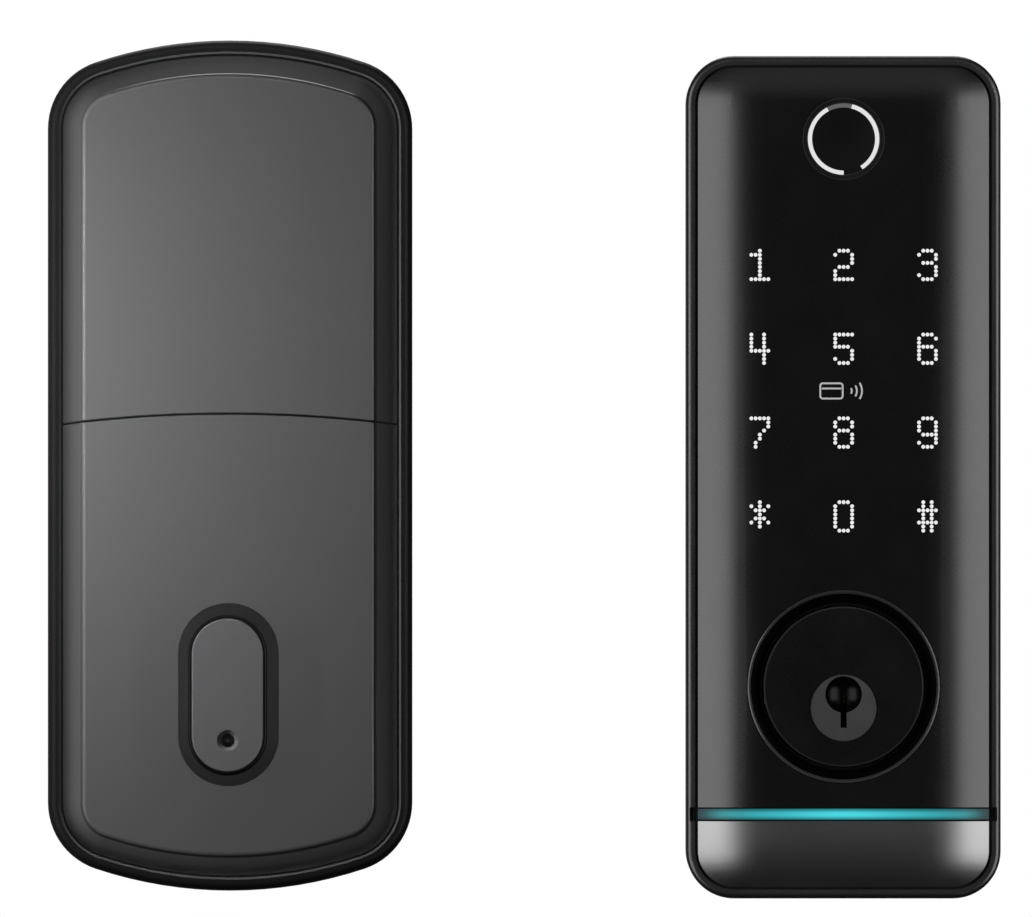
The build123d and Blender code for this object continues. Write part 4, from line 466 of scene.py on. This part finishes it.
MATERIALS = {
    "frame_metal": surface("frame_metal", (0.0055, 0.0055, 0.0056), 0.36, grain=4200.0,
                           depth=0.003, ior=1.6),
    "panel_satin": surface("panel_satin", (0.0009, 0.0009, 0.0010), 0.28, variation=0.12,
                           rough_spread=0.02, grain=3800.0, depth=0.0008),
    # Cylinder: the edge colour is a painted highlight, a lighter grey on chamfers and side faces.
    "cylinder_black": surface("cylinder_black", (0.0009, 0.0009, 0.0010), 0.28, variation=0.2,
                              rough_spread=0.03, grain=3600.0, depth=0.0012,
                              edge=(0.022, 0.022, 0.023)),
    "collar_black": collar_material(),
    # Bezel: the edge colour is a painted highlight, a lighter grey on its chamfers.
    "bezel_black": surface("bezel_black", (0.0040, 0.0040, 0.0042), 0.28, grain=3600.0,
                           depth=0.001, edge=(0.030, 0.030, 0.032)),
    "trim_satin": surface("trim_satin", (0.0042, 0.0042, 0.0043), 0.34, rough_spread=0.03,
                          grain=5200.0, depth=0.002, ior=2.35),
    # Cover: the edge colour is painted shade, a darker grey on the side walls and the outer part of
    # the fillets, while the band next to the face keeps the lighter base.
    "cover_satin": surface("cover_satin", (0.054, 0.054, 0.055), 0.30, variation=0.05,
                           rough_spread=0.02, grain=5200.0, depth=0.0012, ior=1.7,
                           edge=(0.028, 0.028, 0.029), flatness=0.80),
    "knob_satin": surface("knob_satin", (0.066, 0.066, 0.068), 0.30, variation=0.05,
                          rough_spread=0.02, grain=5200.0, depth=0.0012, ior=1.6),
    # Case: the edge colour is a painted highlight, a lighter grey on the chamfers and faces that
    # face the middle of the case.
    "case_black": surface("case_black", (0.0050, 0.0050, 0.0052), 0.50, variation=0.25,
                          grain=2600.0, depth=0.006, edge=(0.050, 0.050, 0.051),
                          inward_of=CASE_CENTRE),
    "knob_black": surface("knob_black", (0.0014, 0.0014, 0.0015), 0.34, variation=0.2,
                          grain=3600.0, depth=0.002),
    "plug_nickel": surface("plug_nickel", (0.026, 0.026, 0.027), 0.38, grain=3200.0,
                           depth=0.004, stretch=(1, 1, 4), ior=1.7),
    "guide_gloss": surface("guide_gloss", (0.001, 0.001, 0.001), 0.26, grain=3000.0,
                           depth=0.001, ior=1.17),
    "steel": surface("steel", (0.50, 0.50, 0.51), 0.34, metallic=1.0, rough_spread=0.08,
                     grain=900.0, depth=0.004, stretch=(1, 1, 14)),
    "zinc_plate": surface("zinc_plate", (0.46, 0.45, 0.42), 0.38, metallic=1.0,
                          rough_spread=0.08, grain=1300.0, depth=0.006, variation=0.2),
    "screw_zinc": surface("screw_zinc", (0.50, 0.49, 0.46), 0.34, metallic=1.0,
                          rough_spread=0.08, grain=1800.0, depth=0.006),
    "dark_bronze": surface("dark_bronze", (0.10, 0.07, 0.035), 0.34, metallic=1.0,
                           grain=2200.0, depth=0.003),
    "brass": surface("brass", (0.66, 0.46, 0.18), 0.28, metallic=1.0, grain=2200.0,
                     depth=0.004),
    "rubber": surface("rubber", (0.014, 0.014, 0.014), 0.72, grain=1600.0, depth=0.015),
    "tray_plastic": surface("tray_plastic", (0.018, 0.018, 0.019), 0.50, grain=2100.0,
                            depth=0.012),
    "acetal": surface("acetal", (0.72, 0.70, 0.63), 0.42, variation=0.04, grain=1800.0,
                      depth=0.006),
    "copper": surface("copper", (0.62, 0.30, 0.15), 0.35, metallic=1.0, grain=2600.0,
                      depth=0.003),
    "socket_nylon": surface("socket_nylon", (0.74, 0.73, 0.68), 0.5, variation=0.04,
                            grain=2200.0, depth=0.008),
    "board": board_material(),
    "cells": cell_material(),
    "bar_glow": light_bar_material(),
    "ring_glow": light_ring_material(),
}

CAD_FINISH = {
    "frame_metal": ["ext_housing"],
    "panel_satin": ["touch_panel", "fingerprint_pad"],
    "cylinder_black": ["cylinder_body"],
    "collar_black": ["cylinder_collar"],
    "bezel_black": ["fingerprint_bezel"],
    "trim_satin": ["lower_trim"],
    "cover_satin": ["lower_cover", "battery_cover"],
    "knob_satin": ["knob_face"],
    "case_black": ["rear_case"],
    "knob_black": ["thumbturn_knob"],
    "plug_nickel": ["key_plug"],
    "guide_gloss": ["key_guide"],
    "steel": ["bolt_posts", "gearbox_plate", "spindle_clip", "plug_clip", "tailpiece",
              "tailpiece_cap", "thumbturn_spindle", "idler_pin", "contact_plates",
              "pin_springs", "usb_port", "motor_body", "knob_marker"],
    "zinc_plate": ["ext_back_plate", "mounting_plate"],
    "screw_zinc": ["housing_screws", "cylinder_screws", "cover_screws", "case_screws"],
    "dark_bronze": ["key_pins"],
    "brass": ["driver_pins", "chamber_cover", "spindle_bushing", "motor_pinion"],
    "rubber": ["ext_gasket", "cable_grommet"],
    "tray_plastic": ["battery_tray", "reset_button", "buzzer"],
    "acetal": ["drive_gear", "idler_gear"],
    "copper": ["card_antenna"],
    "socket_nylon": ["cable_socket"],
    "board": ["touch_board", "ext_control_board", "light_bar_board", "usb_board",
              "main_board", "button_board", "fingerprint_module"],
    "cells": ["batteries"],
    "bar_glow": ["light_bar"],
    "ring_glow": ["fingerprint_light_ring"],
}


# ---- Lit symbols on the keypad panel ----

GLYPHS = {
    "1": ("00100", "11100", "00100", "00100", "00100", "00100", "00100", "11111"),
    "2": ("01110", "10001", "00001", "00001", "01110", "10000", "10000", "11111"),
    "3": ("01110", "10001", "00001", "01110", "00001", "00001", "10001", "01110"),
    "4": ("10010", "10010", "10010", "10010", "11111", "00010", "00010", "00010"),
    "5": ("11111", "10000", "10000", "11110", "00001", "00001", "10001", "01110"),
    "6": ("01110", "10001", "10000", "11110", "10001", "10001", "10001", "01110"),
    "7": ("11111", "00001", "00001", "00010", "00100", "00100", "01000", "01000"),
    "8": ("01110", "10001", "10001", "01110", "10001", "10001", "10001", "01110"),
    "9": ("01110", "10001", "10001", "10001", "01111", "00001", "10001", "01110"),
    "0": ("01110", "10001", "10001", "10001", "10001", "10001", "10001", "01110"),
    "star": ("00100", "10101", "01110", "00100", "01110", "10101", "00100", "00000"),
    "hash": ("01010", "01010", "11111", "01010", "01010", "11111", "01010", "01010"),
}
KEY_ROWS = (("1", "2", "3"), ("4", "5", "6"), ("7", "8", "9"), ("star", "0", "hash"))
KEY_PITCH = 16.5 * MM
TOP_ROW_Z = 87.2 * MM
DOT_PITCH = (0.83 * MM, 0.80 * MM)
DOT_RADIUS = 0.38 * MM
DOT_SIDES = 12
LIT_LIFT = 0.02 * MM
LIT_THICKNESS = 0.03 * MM
DOT_TOP_SHARE = 0.8
SYMBOL_WHITE = (0.80, 0.80, 0.81)
KEY_STRENGTH = 0.80
CARD_STRENGTH = 0.30
IN_FRONT_Y = -1.0

panel_tree = BVHTree.FromPolygons([vertex.co for vertex in nodes["touch_panel"].data.vertices],
                                  [face.vertices for face in nodes["touch_panel"].data.polygons])


def panel_depth(x, z):
    """Y of the panel's front surface at a place."""
    place, _, _, _ = panel_tree.ray_cast(Vector((x, IN_FRONT_Y, z)), Vector((0, 1, 0)))
    return place.y


def mesh_object(name, mesh_builder, material):
    """Makes an object whose mesh a bmesh function fills."""
    data = bpy.data.meshes.new(name)
    shape = bmesh.new()
    mesh_builder(shape)
    bmesh.ops.recalc_face_normals(shape, faces=shape.faces)
    shape.to_mesh(data)
    shape.free()
    data.materials.append(material)
    piece = bpy.data.objects.new(name, data)
    bpy.context.scene.collection.objects.link(piece)
    return piece


def circle_points(x, z, radius, sides):
    """Corners (x, z) of a regular polygon."""
    return [(x + radius * math.cos(2 * math.pi * k / sides),
             z + radius * math.sin(2 * math.pi * k / sides)) for k in range(sides)]


def add_dot(shape, x, z):
    """Low dot on the panel's surface, a little narrower at its top."""
    back = panel_depth(x, z) - LIT_LIFT
    front = back - LIT_THICKNESS
    rim = circle_points(x, z, DOT_RADIUS, DOT_SIDES)
    base = [shape.verts.new((px, back, pz)) for px, pz in rim]
    top = [shape.verts.new((x + (px - x) * DOT_TOP_SHARE, front, z + (pz - z) * DOT_TOP_SHARE))
           for px, pz in rim]
    shape.faces.new(base)
    shape.faces.new(top)
    for k in range(DOT_SIDES):
        after = (k + 1) % DOT_SIDES
        shape.faces.new((base[k], base[after], top[after], top[k]))


def glyph_mesh(rows, centre_x, centre_z):
    """Bmesh function for a dot-matrix symbol."""
    def build(shape):
        for row, line in enumerate(rows):
            for column, cell in enumerate(line):
                if cell == "1":
                    x = centre_x + (column - (len(line) - 1) / 2) * DOT_PITCH[0]
                    z = centre_z - (row - (len(rows) - 1) / 2) * DOT_PITCH[1]
                    add_dot(shape, x, z)
    return build


def strip(shape, points, width, back, front, closed=False):
    """Bar of a width along points (x, z), between two depths; a closed one is a loop."""
    count = len(points)
    rings = []
    for k, (x, z) in enumerate(points):
        before = points[(k - 1) % count] if closed or k > 0 else points[k]
        after = points[(k + 1) % count] if closed or k < count - 1 else points[k]
        along = Vector((after[0] - before[0], after[1] - before[1])).normalized()
        side = Vector((-along.y, along.x)) * width / 2
        rings.append([shape.verts.new((x + side.x, back, z + side.y)),
                      shape.verts.new((x - side.x, back, z - side.y)),
                      shape.verts.new((x - side.x, front, z - side.y)),
                      shape.verts.new((x + side.x, front, z + side.y))])
    spans = count if closed else count - 1
    for k in range(spans):
        here, there = rings[k], rings[(k + 1) % count]
        for edge in range(4):
            shape.faces.new((here[edge], here[(edge + 1) % 4],
                             there[(edge + 1) % 4], there[edge]))
    if not closed:
        shape.faces.new(rings[0])
        shape.faces.new(rings[-1])


def arc_points(centre, radius, start, end, steps):
    """Points on an arc, with angles in degrees."""
    angles = [math.radians(start + (end - start) * k / steps) for k in range(steps + 1)]
    return [(centre[0] + radius * math.cos(a), centre[1] + radius * math.sin(a))
            for a in angles]


CARD_Z = 62.4 * MM
CARD_SIZE = (4.4 * MM, 3.0 * MM)
CARD_CORNER = 0.5 * MM
CARD_LINE = 0.34 * MM
CARD_X = -2.4 * MM
WAVE_X = 0.6 * MM
WAVE_RADII = (1.0 * MM, 2.0 * MM, 3.0 * MM)
WAVE_ANGLE = 32.0
WAVE_STEPS = 8
CORNER_STEPS = 4
STRIPE_RISE = 0.16
STRIPE_REACH = 0.4


def card_mesh(shape):
    """Outline of a card, a stripe on it, and three waves beside it."""
    back = panel_depth(0, CARD_Z) - LIT_LIFT
    front = back - LIT_THICKNESS
    half_w = CARD_SIZE[0] / 2 - CARD_CORNER
    half_h = CARD_SIZE[1] / 2 - CARD_CORNER
    outline = []
    for sx, sz, start in ((1, 1, 0), (-1, 1, 90), (-1, -1, 180), (1, -1, 270)):
        corner = (CARD_X + sx * half_w, CARD_Z + sz * half_h)
        outline += arc_points(corner, CARD_CORNER, start, start + 90, CORNER_STEPS)
    strip(shape, outline, CARD_LINE, back, front, closed=True)
    stripe_z = CARD_Z + CARD_SIZE[1] * STRIPE_RISE
    reach = half_w + CARD_CORNER * STRIPE_REACH
    strip(shape, [(CARD_X - reach, stripe_z), (CARD_X + reach, stripe_z)], CARD_LINE, back,
          front)
    for radius in WAVE_RADII:
        strip(shape, arc_points((WAVE_X, CARD_Z), radius, -WAVE_ANGLE, WAVE_ANGLE, WAVE_STEPS),
              CARD_LINE, back, front)


def add_symbols():
    """The twelve keys and the card symbol, as separate lit pieces."""
    lit, _, _ = glowing("symbol_glow", SYMBOL_WHITE, KEY_STRENGTH)
    dim, _, _ = glowing("card_glow", SYMBOL_WHITE, CARD_STRENGTH)
    for row, keys in enumerate(KEY_ROWS):
        for column, key in enumerate(keys):
            x = (column - 1) * KEY_PITCH
            z = TOP_ROW_Z - row * KEY_PITCH
            piece = mesh_object(f"key_{key}", glyph_mesh(GLYPHS[key], x, z), lit)
            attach(piece, "units")
    card = mesh_object("card_symbol", card_mesh, dim)
    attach(card, "units")


# ---- Battery springs ----

WIRE_RADIUS = 0.35 * MM
SPRING_TURNS = 4.5
STEPS_PER_TURN = 24
WIRE_SIDES = 8
SPRING_FOOT_RADIUS = 3.65 * MM
SPRING_HEAD_RADIUS = 2.5 * MM


def cell_centres():
    """X of each cell and the cells' radius, from the box of the whole row of cells."""
    low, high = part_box("batteries")
    radius = (high.y - low.y) / 2
    count = round((high.x - low.x) / (2 * radius))
    pitch = (high.x - low.x - 2 * radius) / (count - 1)
    return [low.x + radius + pitch * index for index in range(count)], radius


def wire(shape, points):
    """Round wire along points, with flat closed ends."""
    rings = []
    for index, point in enumerate(points):
        before, after = points[max(index - 1, 0)], points[min(index + 1, len(points) - 1)]
        along = (after - before).normalized()
        side = along.cross(Vector((0, 0, 1))).normalized()
        rise = side.cross(along)
        angles = [2 * math.pi * k / WIRE_SIDES for k in range(WIRE_SIDES)]
        rings.append([shape.verts.new(point + WIRE_RADIUS * (math.cos(a) * side
                                                             + math.sin(a) * rise))
                      for a in angles])
    for first, second in zip(rings, rings[1:]):
        for k in range(WIRE_SIDES):
            shape.faces.new((first[k], first[(k + 1) % WIRE_SIDES],
                             second[(k + 1) % WIRE_SIDES], second[k]))
    shape.faces.new(rings[0])
    shape.faces.new(rings[-1])


def springs_mesh(shape):
    """One conical coil per cell, wide at the contact plate and narrow at the cell. Its climb
    eases in and out, so both end turns lie nearly flat."""
    vertices = [vertex.co for vertex in nodes["contact_springs"].data.vertices]
    centres, radius = cell_centres()
    low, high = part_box("batteries")
    middle_z = (low.z + high.z) / 2
    depth_y = (low.y + high.y) / 2
    steps = int(SPRING_TURNS * STEPS_PER_TURN)
    for x in centres:
        levels = [vertex.z for vertex in vertices if abs(vertex.x - x) < radius]
        bottom, top = min(levels), max(levels)
        foot, head = (bottom, top) if top < middle_z else (top, bottom)
        reach = head - foot
        inset = math.copysign(WIRE_RADIUS, reach)
        points = []
        for step in range(steps + 1):
            share = step / steps
            turn = 2 * math.pi * SPRING_TURNS * share
            coil = SPRING_FOOT_RADIUS + (SPRING_HEAD_RADIUS - SPRING_FOOT_RADIUS) * share
            climb = share * share * (3 - 2 * share)
            points.append(Vector((x + coil * math.cos(turn), depth_y + coil * math.sin(turn),
                                  foot + inset + (reach - 2 * inset) * climb)))
        wire(shape, points)


def add_springs():
    """Wire coils in place of the plain sleeves at the flat end of each cell."""
    coils = mesh_object("contact_coils", springs_mesh, MATERIALS["steel"])
    for face in coils.data.polygons:
        face.use_smooth = True
    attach(coils, "units")
    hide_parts("contact_springs")


# ---- Light and surroundings ----

def area_light(name, location, target, size, radiance, receivers=None, wash=False):
    """Rectangular soft box of a given radiance, facing a target, for some objects or for all.
    A wash gives only soft light, with no reflection of the box and no shadow."""
    data = bpy.data.lights.new(name, "AREA")
    data.shape = "RECTANGLE"
    data.size, data.size_y = size
    data.energy = radiance * math.pi * size[0] * size[1]
    lamp = bpy.data.objects.new(name, data)
    lamp.location = location
    direction = Vector(target) - Vector(location)
    lamp.rotation_euler = direction.to_track_quat("-Z", "Y").to_euler()
    lamp.visible_camera = False
    bpy.context.scene.collection.objects.link(lamp)
    if receivers is not None:
        lamp.light_linking.receiver_collection = receivers
    lamp.visible_glossy = not wash
    data.use_shadow = not wash


def unit_collection(name, interior):
    """Collection of all the objects of one unit, told apart by the gap between the units."""
    gap_x = (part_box("rear_case")[1].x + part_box("ext_housing")[0].x) / 2
    group = bpy.data.collections.new(name)
    for item in bpy.context.scene.objects:
        if item.type == "MESH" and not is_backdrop(item):
            middle_x = sum(corner[0] for corner in item.bound_box) / len(item.bound_box)
            if (middle_x < gap_x) == interior:
                group.objects.link(item)
    return group


def node_collection(name, finishes):
    """Collection of the CAD nodes that have one of some finishes."""
    group = bpy.data.collections.new(name)
    for finish in finishes:
        for node in CAD_FINISH[finish]:
            group.objects.link(nodes[node])
    return group


BACK_FINISHES = ("steel", "zinc_plate", "screw_zinc", "brass", "rubber", "acetal", "board",
                 "socket_nylon", "tray_plastic")


FLOOR_LEVEL = cad_box[0][2] - 0.25
FLOOR_RADIUS = 2.5
FLOOR_SIDES = 64
FLOOR_GREY = (0.80, 0.80, 0.80)
FLOOR_ROUGHNESS = 0.8
FLOOR_LAMP_HEIGHT = 3.0
FLOOR_LAMP_SIZE = (7.0, 7.0)
FLOOR_LAMP_RADIANCE = 2.1


def floor_mesh(shape):
    """Wide round floor below the object."""
    rim = circle_points(VIEW_X, 0.0, FLOOR_RADIUS, FLOOR_SIDES)
    shape.faces.new([shape.verts.new((x, y, FLOOR_LEVEL)) for x, y in rim])


def add_floor():
    """Pale floor with a lamp of its own, which adds no light to the object."""
    floor_paint = surface("floor_paint", FLOOR_GREY, FLOOR_ROUGHNESS, variation=0.01, grain=60.0)
    floor = mesh_object("floor", floor_mesh, floor_paint)
    floor.visible_diffuse = False
    floor.visible_glossy = False
    group = bpy.data.collections.new("floor_only")
    group.objects.link(floor)
    area_light("floor_lamp", (VIEW_X, 0.0, FLOOR_LEVEL + FLOOR_LAMP_HEIGHT),
               (VIEW_X, 0.0, FLOOR_LEVEL), FLOOR_LAMP_SIZE, FLOOR_LAMP_RADIANCE, group,
               wash=True)


# The room as the object reflects it: its glow in front and behind, the glow added at the
# rear left, and the directions between which each one changes.
ROOM_FRONT_GLOW = 0.012
ROOM_REAR_GLOW = 0.10
ROOM_DEPTH_SPAN = (-0.4, 1.0)
ROOM_LEFT_GLOW = 0.30
ROOM_LEFT_SPAN = (0.1, -0.6)
ROOM_REAR_SPAN = (0.2, 0.9)


def add_world():
    """White studio for the camera; dim surroundings, darker in front, for reflections."""
    world = bpy.data.worlds.new("studio")
    bpy.context.scene.world = world
    world.use_nodes = True
    tree = world.node_tree
    tree.nodes.clear()
    output = tree.nodes.new("ShaderNodeOutputWorld")
    seen = tree.nodes.new("ShaderNodeBackground")
    seen.inputs["Color"].default_value = (1, 1, 1, 1)
    room = tree.nodes.new("ShaderNodeBackground")
    direction = tree.nodes.new("ShaderNodeTexCoord")
    axes = tree.nodes.new("ShaderNodeSeparateXYZ")
    link(tree, direction.outputs["Generated"], axes.inputs[0])
    depth = map_range(tree, axes.outputs["Y"], *ROOM_DEPTH_SPAN, ROOM_FRONT_GLOW,
                      ROOM_REAR_GLOW, smooth=True)
    left = map_range(tree, axes.outputs["X"], *ROOM_LEFT_SPAN, 0.0, ROOM_LEFT_GLOW, smooth=True)
    rear = map_range(tree, axes.outputs["Y"], *ROOM_REAR_SPAN, 0.0, 1.0)
    rear_left = math_node(tree, "MULTIPLY", left, rear)
    link(tree, math_node(tree, "ADD", depth, rear_left), room.inputs["Strength"])
    paths = tree.nodes.new("ShaderNodeLightPath")
    choice = tree.nodes.new("ShaderNodeMixShader")
    link(tree, paths.outputs["Is Camera Ray"], choice.inputs[0])
    link(tree, room.outputs[0], choice.inputs[1])
    link(tree, seen.outputs[0], choice.inputs[2])
    link(tree, choice.outputs[0], output.inputs["Surface"])


# Soft boxes: places from what each one faces, sizes and radiances.
PANEL_BOXES = ((-1, 45), (1, 49))
PANEL_BOX_DROP = Vector((0.0, 0.0, 0.10))
PANEL_BOX_SIZE = (0.70, 1.04)
PANEL_BOX_RADIANCE = 4.4
PANEL_FILL_PLACE = Vector((0.0, -0.79, 0.62))
PANEL_FILL_SIZE = (1.2, 0.46)
PANEL_FILL_RADIANCE = 0.5
COVER_STRIP_PLACE = Vector((0.62, -0.75, 0.0))
COVER_STRIP_SIZE = (0.07, 0.8)
COVER_STRIP_RADIANCE = 7.0
COVER_TOP_PLACE = Vector((0.0, -0.75, 0.62))
COVER_TOP_SIZE = (0.8, 0.07)
COVER_TOP_RADIANCE = 4.0
COVER_WASH_PLACE = Vector((-0.105, -0.081, 0.028))
COVER_WASH_TARGET = Vector((0.0, 0.0, -0.01))
COVER_WASH_SIZE = (0.02, 0.05)
COVER_WASH_RADIANCE = 200.0
TOP_BOX_PLACE = (VIEW_X, -0.25, 1.2)
TOP_BOX_SIZE = (0.8, 0.4)
TOP_BOX_RADIANCE = 0.25
REAR_BOX_PLACE = (VIEW_X, 0.9, 1.6)
REAR_BOX_SIZE = (0.9, 0.6)
REAR_BOX_RADIANCE = 5.0
BACK_BOX_OFFSET = 0.6
BACK_BOX_PLACE = (0.8, 0.35)
BACK_BOX_SIZE = (0.7, 0.9)
BACK_BOX_RADIANCE = 2.6
BACK_WASH_PLACE = (VIEW_X, 1.1, 0.1)
BACK_WASH_SIZE = (0.9, 0.9)
BACK_WASH_RADIANCE = 0.6


def add_panel_and_cover_lamps(panel_centre, cover_centre, exterior, interior):
    """Soft boxes for the two fronts, each unit with its own."""
    for side, azimuth in PANEL_BOXES:
        reach = Vector((side * math.sin(math.radians(azimuth)),
                        -math.cos(math.radians(azimuth)), 0.0))
        area_light(f"panel_box_{side}", panel_centre + reach - PANEL_BOX_DROP,
                   panel_centre - PANEL_BOX_DROP, PANEL_BOX_SIZE, PANEL_BOX_RADIANCE, exterior)
        strip_place = Vector((side, 1, 1)) * COVER_STRIP_PLACE
        area_light(f"cover_strip_{side}", cover_centre + strip_place, cover_centre,
                   COVER_STRIP_SIZE, COVER_STRIP_RADIANCE, interior)
    area_light("panel_top_fill", panel_centre + PANEL_FILL_PLACE, panel_centre,
               PANEL_FILL_SIZE, PANEL_FILL_RADIANCE, exterior)
    area_light("cover_strip_top", cover_centre + COVER_TOP_PLACE, cover_centre,
               COVER_TOP_SIZE, COVER_TOP_RADIANCE, interior)
    area_light("cover_wash", cover_centre + COVER_WASH_PLACE, cover_centre + COVER_WASH_TARGET,
               COVER_WASH_SIZE, COVER_WASH_RADIANCE, interior, wash=True)


def add_studio():
    """Floor and surroundings, and soft boxes set up for each unit as in a catalogue picture."""
    add_world()
    exterior = unit_collection("exterior_unit", interior=False)
    interior = unit_collection("interior_unit", interior=True)
    service = node_collection("service_side", BACK_FINISHES)
    add_floor()
    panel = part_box("touch_panel")
    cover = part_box("lower_cover")
    middle_z = (panel[0].z + panel[1].z) / 2
    panel_centre = Vector((0.0, panel[0].y, middle_z))
    cover_centre = Vector(((cover[0].x + cover[1].x) / 2, cover[0].y, middle_z))
    back_centre = (VIEW_X, 0.0, middle_z)
    add_panel_and_cover_lamps(panel_centre, cover_centre, exterior, interior)
    area_light("top_box", TOP_BOX_PLACE, cover_centre, TOP_BOX_SIZE, TOP_BOX_RADIANCE)
    area_light("rear_box", REAR_BOX_PLACE, cover_centre, REAR_BOX_SIZE, REAR_BOX_RADIANCE)
    for side in (-1, 1):
        area_light(f"back_box_{side}", (VIEW_X + side * BACK_BOX_OFFSET, *BACK_BOX_PLACE),
                   back_centre, BACK_BOX_SIZE, BACK_BOX_RADIANCE, service)
    area_light("back_wash", BACK_WASH_PLACE, back_centre, BACK_WASH_SIZE, BACK_WASH_RADIANCE,
               service)


bpy.context.scene.view_settings.view_transform = "Standard"
add_camera()
for finish, names in CAD_FINISH.items():
    paint(names, MATERIALS[finish])
add_symbols()
add_springs()
add_studio()
